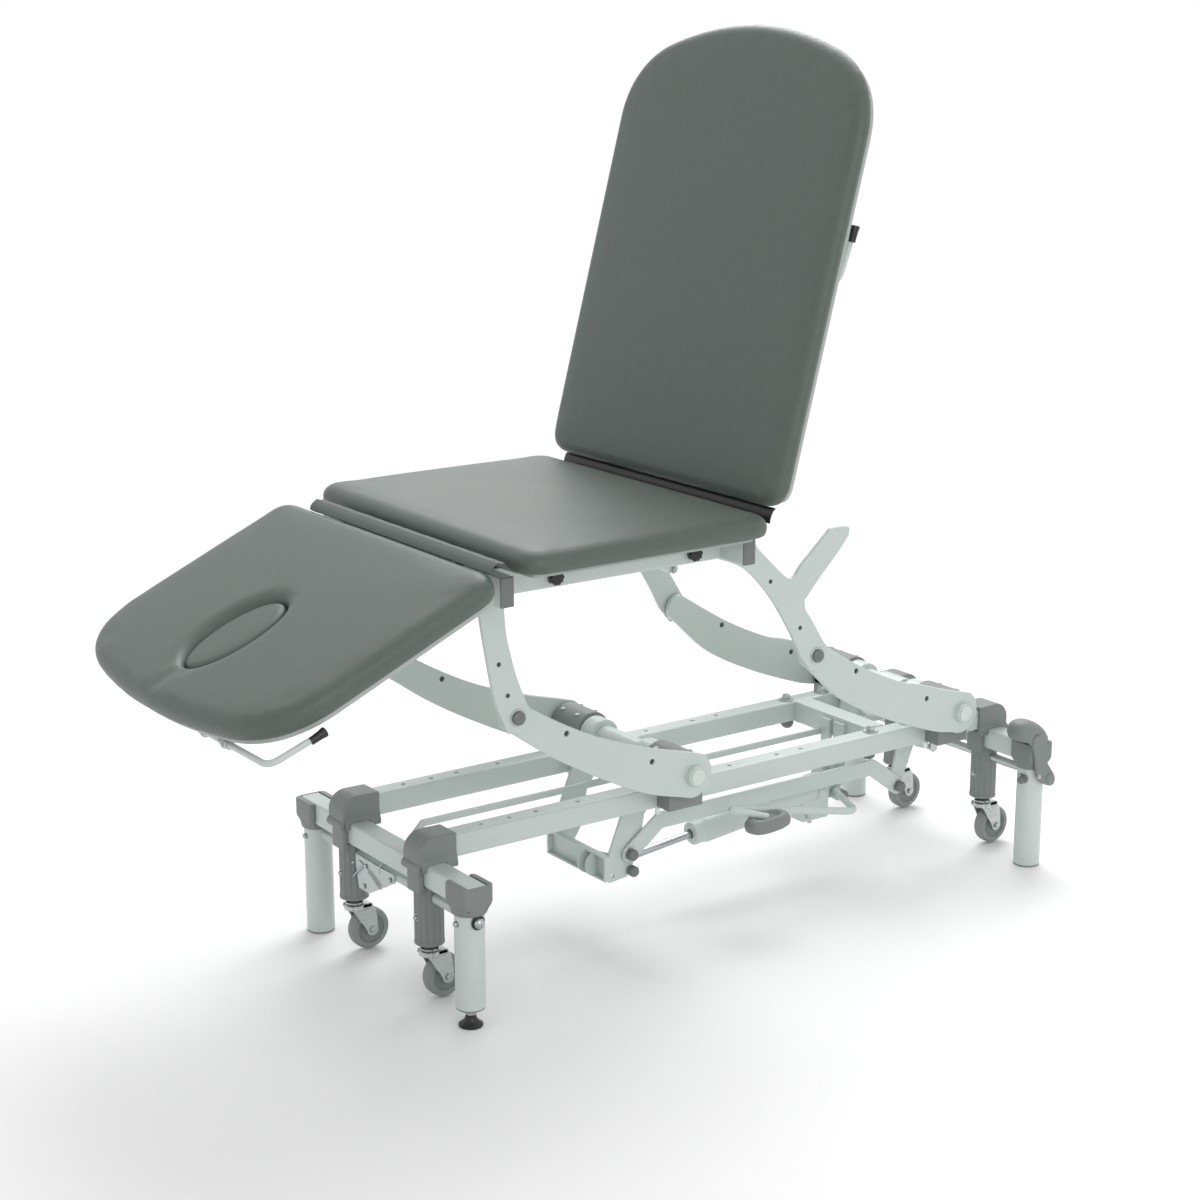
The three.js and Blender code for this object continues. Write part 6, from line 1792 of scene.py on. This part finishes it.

# %% [markdown]
# ## Vinyl
# The upholstery is a coated fabric. Three scales of detail make it: a fine pebble grain that
# breaks up the shine, a soft mottle where the coating is thicker, and a slow drift in tone over
# the width of a cushion. The grain's creases are also darkened in colour, a painted shade. Seen
# at a low angle the coating looks paler, so a Layer Weight node paints a pale sheen into the
# colour there, a painted highlight.

# %% Group: mottled grain
def mottle_group():
    group, start, end = new_group(
        "Mottled grain",
        {"Colour": (COLOUR, (0.5, 0.5, 0.5, 1)), "Mottle": (FLOAT, 0.12),
         "Grain scale": (FLOAT, 420.0), "Weave scale": (FLOAT, 55.0)},
        {"Colour": (COLOUR, None), "Height": (FLOAT, None), "Mask": (FLOAT, None)})

    def calc(operation, first, second):
        return math_node(group, operation, first, second)

    place = new_node(group, "TexCoord").outputs["Object"]
    pebble = new_node(group, "TexVoronoi", {"Vector": place,
                                            "Scale": start.outputs["Grain scale"]},
                      feature="DISTANCE_TO_EDGE")
    crease = new_node(group, "MapRange", {"From Max": 0.18,
                                          "Value": pebble.outputs["Distance"]})
    crease = crease.outputs["Result"]
    patches = object_noise(group, start.outputs["Weave scale"], 5.0)
    fine = object_noise(group, 300.0, 2.0)
    both = calc("ADD", calc("SUBTRACT", patches, 0.5),
                calc("MULTIPLY", calc("SUBTRACT", fine, 0.5), 0.7))
    # Painted shade: the colour is darkened along the grain's creases.
    both = calc("ADD", both, calc("MULTIPLY", calc("SUBTRACT", 1.0, crease), -0.35))
    shade = calc("MULTIPLY", both, start.outputs["Mottle"])
    tint = new_node(group, "HueSaturation", {
        "Value": calc("ADD", calc("MULTIPLY", shade, 2.0), 1.0),
        "Color": start.outputs["Colour"]})
    height = calc("ADD", calc("MULTIPLY", crease, 0.7), calc("MULTIPLY", fine, 0.3))
    feed(group, end, {"Colour": tint.outputs["Color"], "Height": height, "Mask": patches})
    return group


MOTTLE = mottle_group()


def vinyl(name, colour, roughness):
    material, tree, shader = new_material(name)
    drifting = new_node(tree, "Group", {
        "Colour": srgb(colour), "Drift": 0.05, "Scale": 5.0, "Roughness": roughness,
        "Gloss drift": 0.10}, node_tree=DRIFT)
    grain = new_node(tree, "Group", {"Colour": drifting.outputs["Colour"]}, node_tree=MOTTLE)
    # Painted sheen: a pale colour mixed in at grazing angles stands for the coating's reflection.
    painted_sheen_share = new_node(tree, "LayerWeight", {"Blend": 0.28}).outputs["Facing"]
    pale = new_node(tree, "Mix", {
        "Factor": math_node(tree, "MULTIPLY", painted_sheen_share, 0.22), "A": grain.outputs["Colour"],
        "B": srgb("8E9893")}, data_type="RGBA")
    relief = new_node(tree, "Bump", {"Strength": 0.35, "Distance": 0.00025,
                                     "Height": grain.outputs["Height"]})
    feed(tree, shader, {
        "Base Color": pale.outputs["Result"], "Roughness": drifting.outputs["Roughness"],
        "Normal": relief.outputs["Normal"], "Specular IOR Level": 0.45})
    return material


VINYL = vinyl("grey green vinyl", "535D58", 0.46)
print("group", MOTTLE.name, "material", VINYL.name)

# %% [markdown]
# ## Cushions
# A cushion is foam pulled tight under vinyl. Each one starts as a skin round its own plan, a
# few millimetres too small, with a rounded top edge and sides that tuck in above the board.
# The skin is remeshed into even squares and blown up as cloth with a little pressure, while
# its underside stays pinned to the board. That gives the slightly uneven fullness of foam,
# and a cap on how far a point may move keeps the cushion's real size.

# %% A cushion's skin
START_SMALLER = 0.0015
VOXEL = 0.006
MOST_SWELL = 0.0020


def resample(plan, spacing):
    """Points at even distances round a closed plan."""
    ring = [Vector(p) for p in plan] + [Vector(plan[0])]
    lengths = [(b - a).length for a, b in zip(ring, ring[1:])]
    total = sum(lengths)
    count = max(24, round(total / spacing))
    points, index, passed = [], 0, 0.0
    for i in range(count):
        goal = total * i / count
        while passed + lengths[index] < goal:
            passed += lengths[index]
            index += 1
        points.append(tuple(ring[index].lerp(ring[index + 1], (goal - passed) / lengths[index])))
    return points


def cushion_rows(thickness, edge, crown, tuck):
    """Rows from the underside up: inset from the plan, and height."""
    rows = [(tuck, -thickness), (tuck * 0.45, -thickness + 0.006), (tuck * 0.1, -thickness + 0.013)]
    for i in range(7):
        a = math.radians(15 * i)
        rows.append((edge * (1 - math.cos(a)), -crown * 0.8 - edge + edge * math.sin(a)))
    return rows


def cushion_skin(name, plan, thickness, edge, hole=None, crown=0.005, tuck=0.007):
    """A closed skin: sides, a crowned top and a flat underside, with an oval hole if asked."""
    plan = resample(inset_plan(plan, START_SMALLER), 0.012)
    middle = Vector((sum(p[0] for p in plan) / len(plan), 0)).x

    def skin(bm):
        rings = [[bm.verts.new((x, y, height - START_SMALLER * (height > -thickness * 0.5)))
                  for x, y in inset_plan(plan, inset)]
                 for inset, height in cushion_rows(thickness, edge, crown, tuck)]
        last = [v.co.copy() for v in rings[-1]]
        for share in (0.94, 0.86, 0.74, 0.58, 0.38, 0.18):
            rise = crown * 0.8 * (1 - share ** 2.2)
            rings.append([bm.verts.new((middle + (x - middle) * share, y * share, z + rise))
                          for x, y, z in last])
        rings.append([bm.verts.new((middle, 0, last[0].z + crown * 0.8))])
        for low, high in zip(rings, rings[1:]):
            ring_faces(bm, low, high)
        bm.faces.new(rings[0][::-1])

    obj = new_object(name, skin)
    if hole:
        along, half_x, half_y = hole
        rows = [(1.0, -thickness - 0.02), (1.0, -0.024), (1.03, -0.016), (1.10, -0.0085),
                (1.20, -0.0035), (1.34, -0.0005), (1.55, 0.004), (1.6, 0.02)]
        rings = []
        for share, z in rows:
            grown = (share - 1) * half_y
            rings.append([(x, y, z) for x, y in oval(along, half_x + grown, half_y + grown, 72)])
        drill(obj, stack(rings))
    return obj


def puff(obj, thickness, pressure=4.0, frames=20):
    """Blows a skin up as cloth, with its underside pinned, and keeps the result as mesh."""
    scene = bpy.context.scene
    configure(obj.modifiers.new("Even squares", "REMESH"), mode="VOXEL", voxel_size=VOXEL,
              use_smooth_shade=True)
    bake(obj)
    obj.modifiers.clear()
    rest = [v.co.copy() for v in obj.data.vertices]
    pinned = obj.vertex_groups.new(name="underside")
    pinned.add([v.index for v in obj.data.vertices if v.co.z < -thickness + 0.004], 1.0, "ADD")
    cloth = obj.modifiers.new("Stuffing", "CLOTH")
    configure(cloth.settings, vertex_group_mass="underside", use_pressure=True,
              uniform_pressure_force=pressure, tension_stiffness=18,
              compression_stiffness=18, bending_stiffness=0.8, quality=5)
    cloth.settings.effector_weights.gravity = 0
    cloth.collision_settings.use_collision = False
    for frame_number in range(1, frames + 1):
        scene.frame_set(frame_number)
    seen = obj.evaluated_get(bpy.context.evaluated_depsgraph_get())
    moved = [v.co.copy() for v in seen.data.vertices]
    obj.modifiers.remove(cloth)
    obj.vertex_groups.clear()
    for vert, start, end in zip(obj.data.vertices, rest, moved):
        step = end - start
        if step.length > MOST_SWELL:
            step *= MOST_SWELL / step.length
        vert.co = start + step
    scene.frame_set(1)
    configure(obj.modifiers.new("Settle", "SMOOTH"), factor=0.5, iterations=9)
    refine(obj)


def refine(obj):
    """Divides every face once more and keeps the result as mesh."""
    configure(obj.modifiers.new("Finer", "SUBSURF"), levels=1, render_levels=1)
    bake(obj)
    obj.modifiers.clear()
    obj.data.shade_smooth()


def set_up(obj, place, body, material, nodes):
    """Stands a finished cushion in its section's place and ties it to its body."""
    obj.data.transform(place)
    only_material(obj, material)
    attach(obj, body)
    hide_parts(*nodes)


def cushion(name, body, edge, hole=None):
    thickness = THICKNESS[name]
    obj = cushion_skin(f"{name}_cushion_vinyl", slab_plan(**SLABS[name]), thickness, edge,
                       hole=hole)
    puff(obj, thickness)
    set_up(obj, SECTIONS[name], body, VINYL, [f"{name}_cushion"])
    print(obj.name, len(obj.data.polygons), "faces")


cushion("back", "back_section", 0.0215)
cushion("head", "head_section", 0.0235, hole=FACE_HOLE)
cushion("seat", "upper", 0.0240)


# %% The plug in the face opening
def face_plug():
    along, half_x, half_y = FACE_HOLE
    thickness = THICKNESS["head"]
    gap = 0.0024
    drop = 0.009
    rows = [(1, -thickness), (1, -drop - 0.012), (0.985, -drop - 0.007), (0.95, -drop - 0.003),
            (0.88, -drop - 0.0006), (0.74, -drop + 0.0006), (0.5, -drop + 0.0014),
            (0.25, -drop + 0.0018)]
    rings = []
    for share, z in rows:
        inset = gap + (1 - share) * half_y
        rings.append([(x, y, z) for x, y in oval(along, half_x - inset, half_y - inset, 72)])
    obj = new_object("face_plug_vinyl", stack(rings))
    obj.data.shade_smooth()
    set_up(obj, SECTIONS["head"], "face_plug", VINYL, ["face_plug"])


face_plug()
print("cushions done")

# %% [markdown]
# A strip of the same vinyl covers the gap at the head hinge. It is held by two sewn beads at
# the head cushion's edge and slides down behind the seat cushion's edge.

# %% The strip over the head hinge
def hinge_strip():
    profile = [(-0.6555, 0.8005), (-0.6530, 0.8090), (-0.6475, 0.8140)]
    profile += [(-0.6440, 0.8158), (-0.6418, 0.8176), (-0.6395, 0.8180), (-0.6372, 0.8172),
                (-0.6356, 0.8152), (-0.6340, 0.8146), (-0.6322, 0.8158), (-0.6300, 0.8164),
                (-0.6278, 0.8154), (-0.6264, 0.8130), (-0.6230, 0.8085), (-0.6160, 0.8030),
                (-0.6090, 0.7985), (-0.6030, 0.7950)]
    thick = 0.0018
    columns = 60

    def strip(bm):
        rows_up, rows_down = [], []
        for i in range(columns + 1):
            y = -0.333 + (0.333 + 0.262) * i / columns
            wave = 0.00035 * math.sin(i * 0.9) * math.sin(i * 0.31)
            rows_up.append([bm.verts.new(at(x, y, z + wave)) for x, z in profile])
            rows_down.append([bm.verts.new(at(x, y, z - thick + wave)) for x, z in profile])
        last = len(profile) - 1
        for i in range(columns):
            for rows in (rows_up, rows_down):
                for j in range(last):
                    bm.faces.new((rows[i][j], rows[i + 1][j], rows[i + 1][j + 1], rows[i][j + 1]))
            for j in (0, last):
                bm.faces.new((rows_up[i][j], rows_down[i][j], rows_down[i + 1][j],
                              rows_up[i + 1][j]))
        for i in (0, columns):
            for j in range(last):
                bm.faces.new((rows_up[i][j], rows_up[i][j + 1], rows_down[i][j + 1],
                              rows_down[i][j]))

    obj = new_object("hinge_strip", strip)
    obj.data.materials.append(VINYL)
    refine(obj)
    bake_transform(obj)


hinge_strip()
# A black strip under the back rest's hinge edge stands for the hinge's shadow: painted shadow.
lip = [(-0.0600, 0.8290), (-0.0635, 0.8262), (-0.0668, 0.8180), (-0.0688, 0.8100),
       (-0.0694, 0.8030), (-0.0676, 0.8026), (-0.0664, 0.8100), (-0.0640, 0.8172),
       (-0.0600, 0.8240), (-0.0560, 0.8262), (-0.0560, 0.8290)]
piece("back_hinge_shadow_strip", "back_section", BLACK,
      plate([(x + MIDDLE, z) for x, z in lip], -0.314, 0.314), soft=0.0006)
print("hinge strip done")
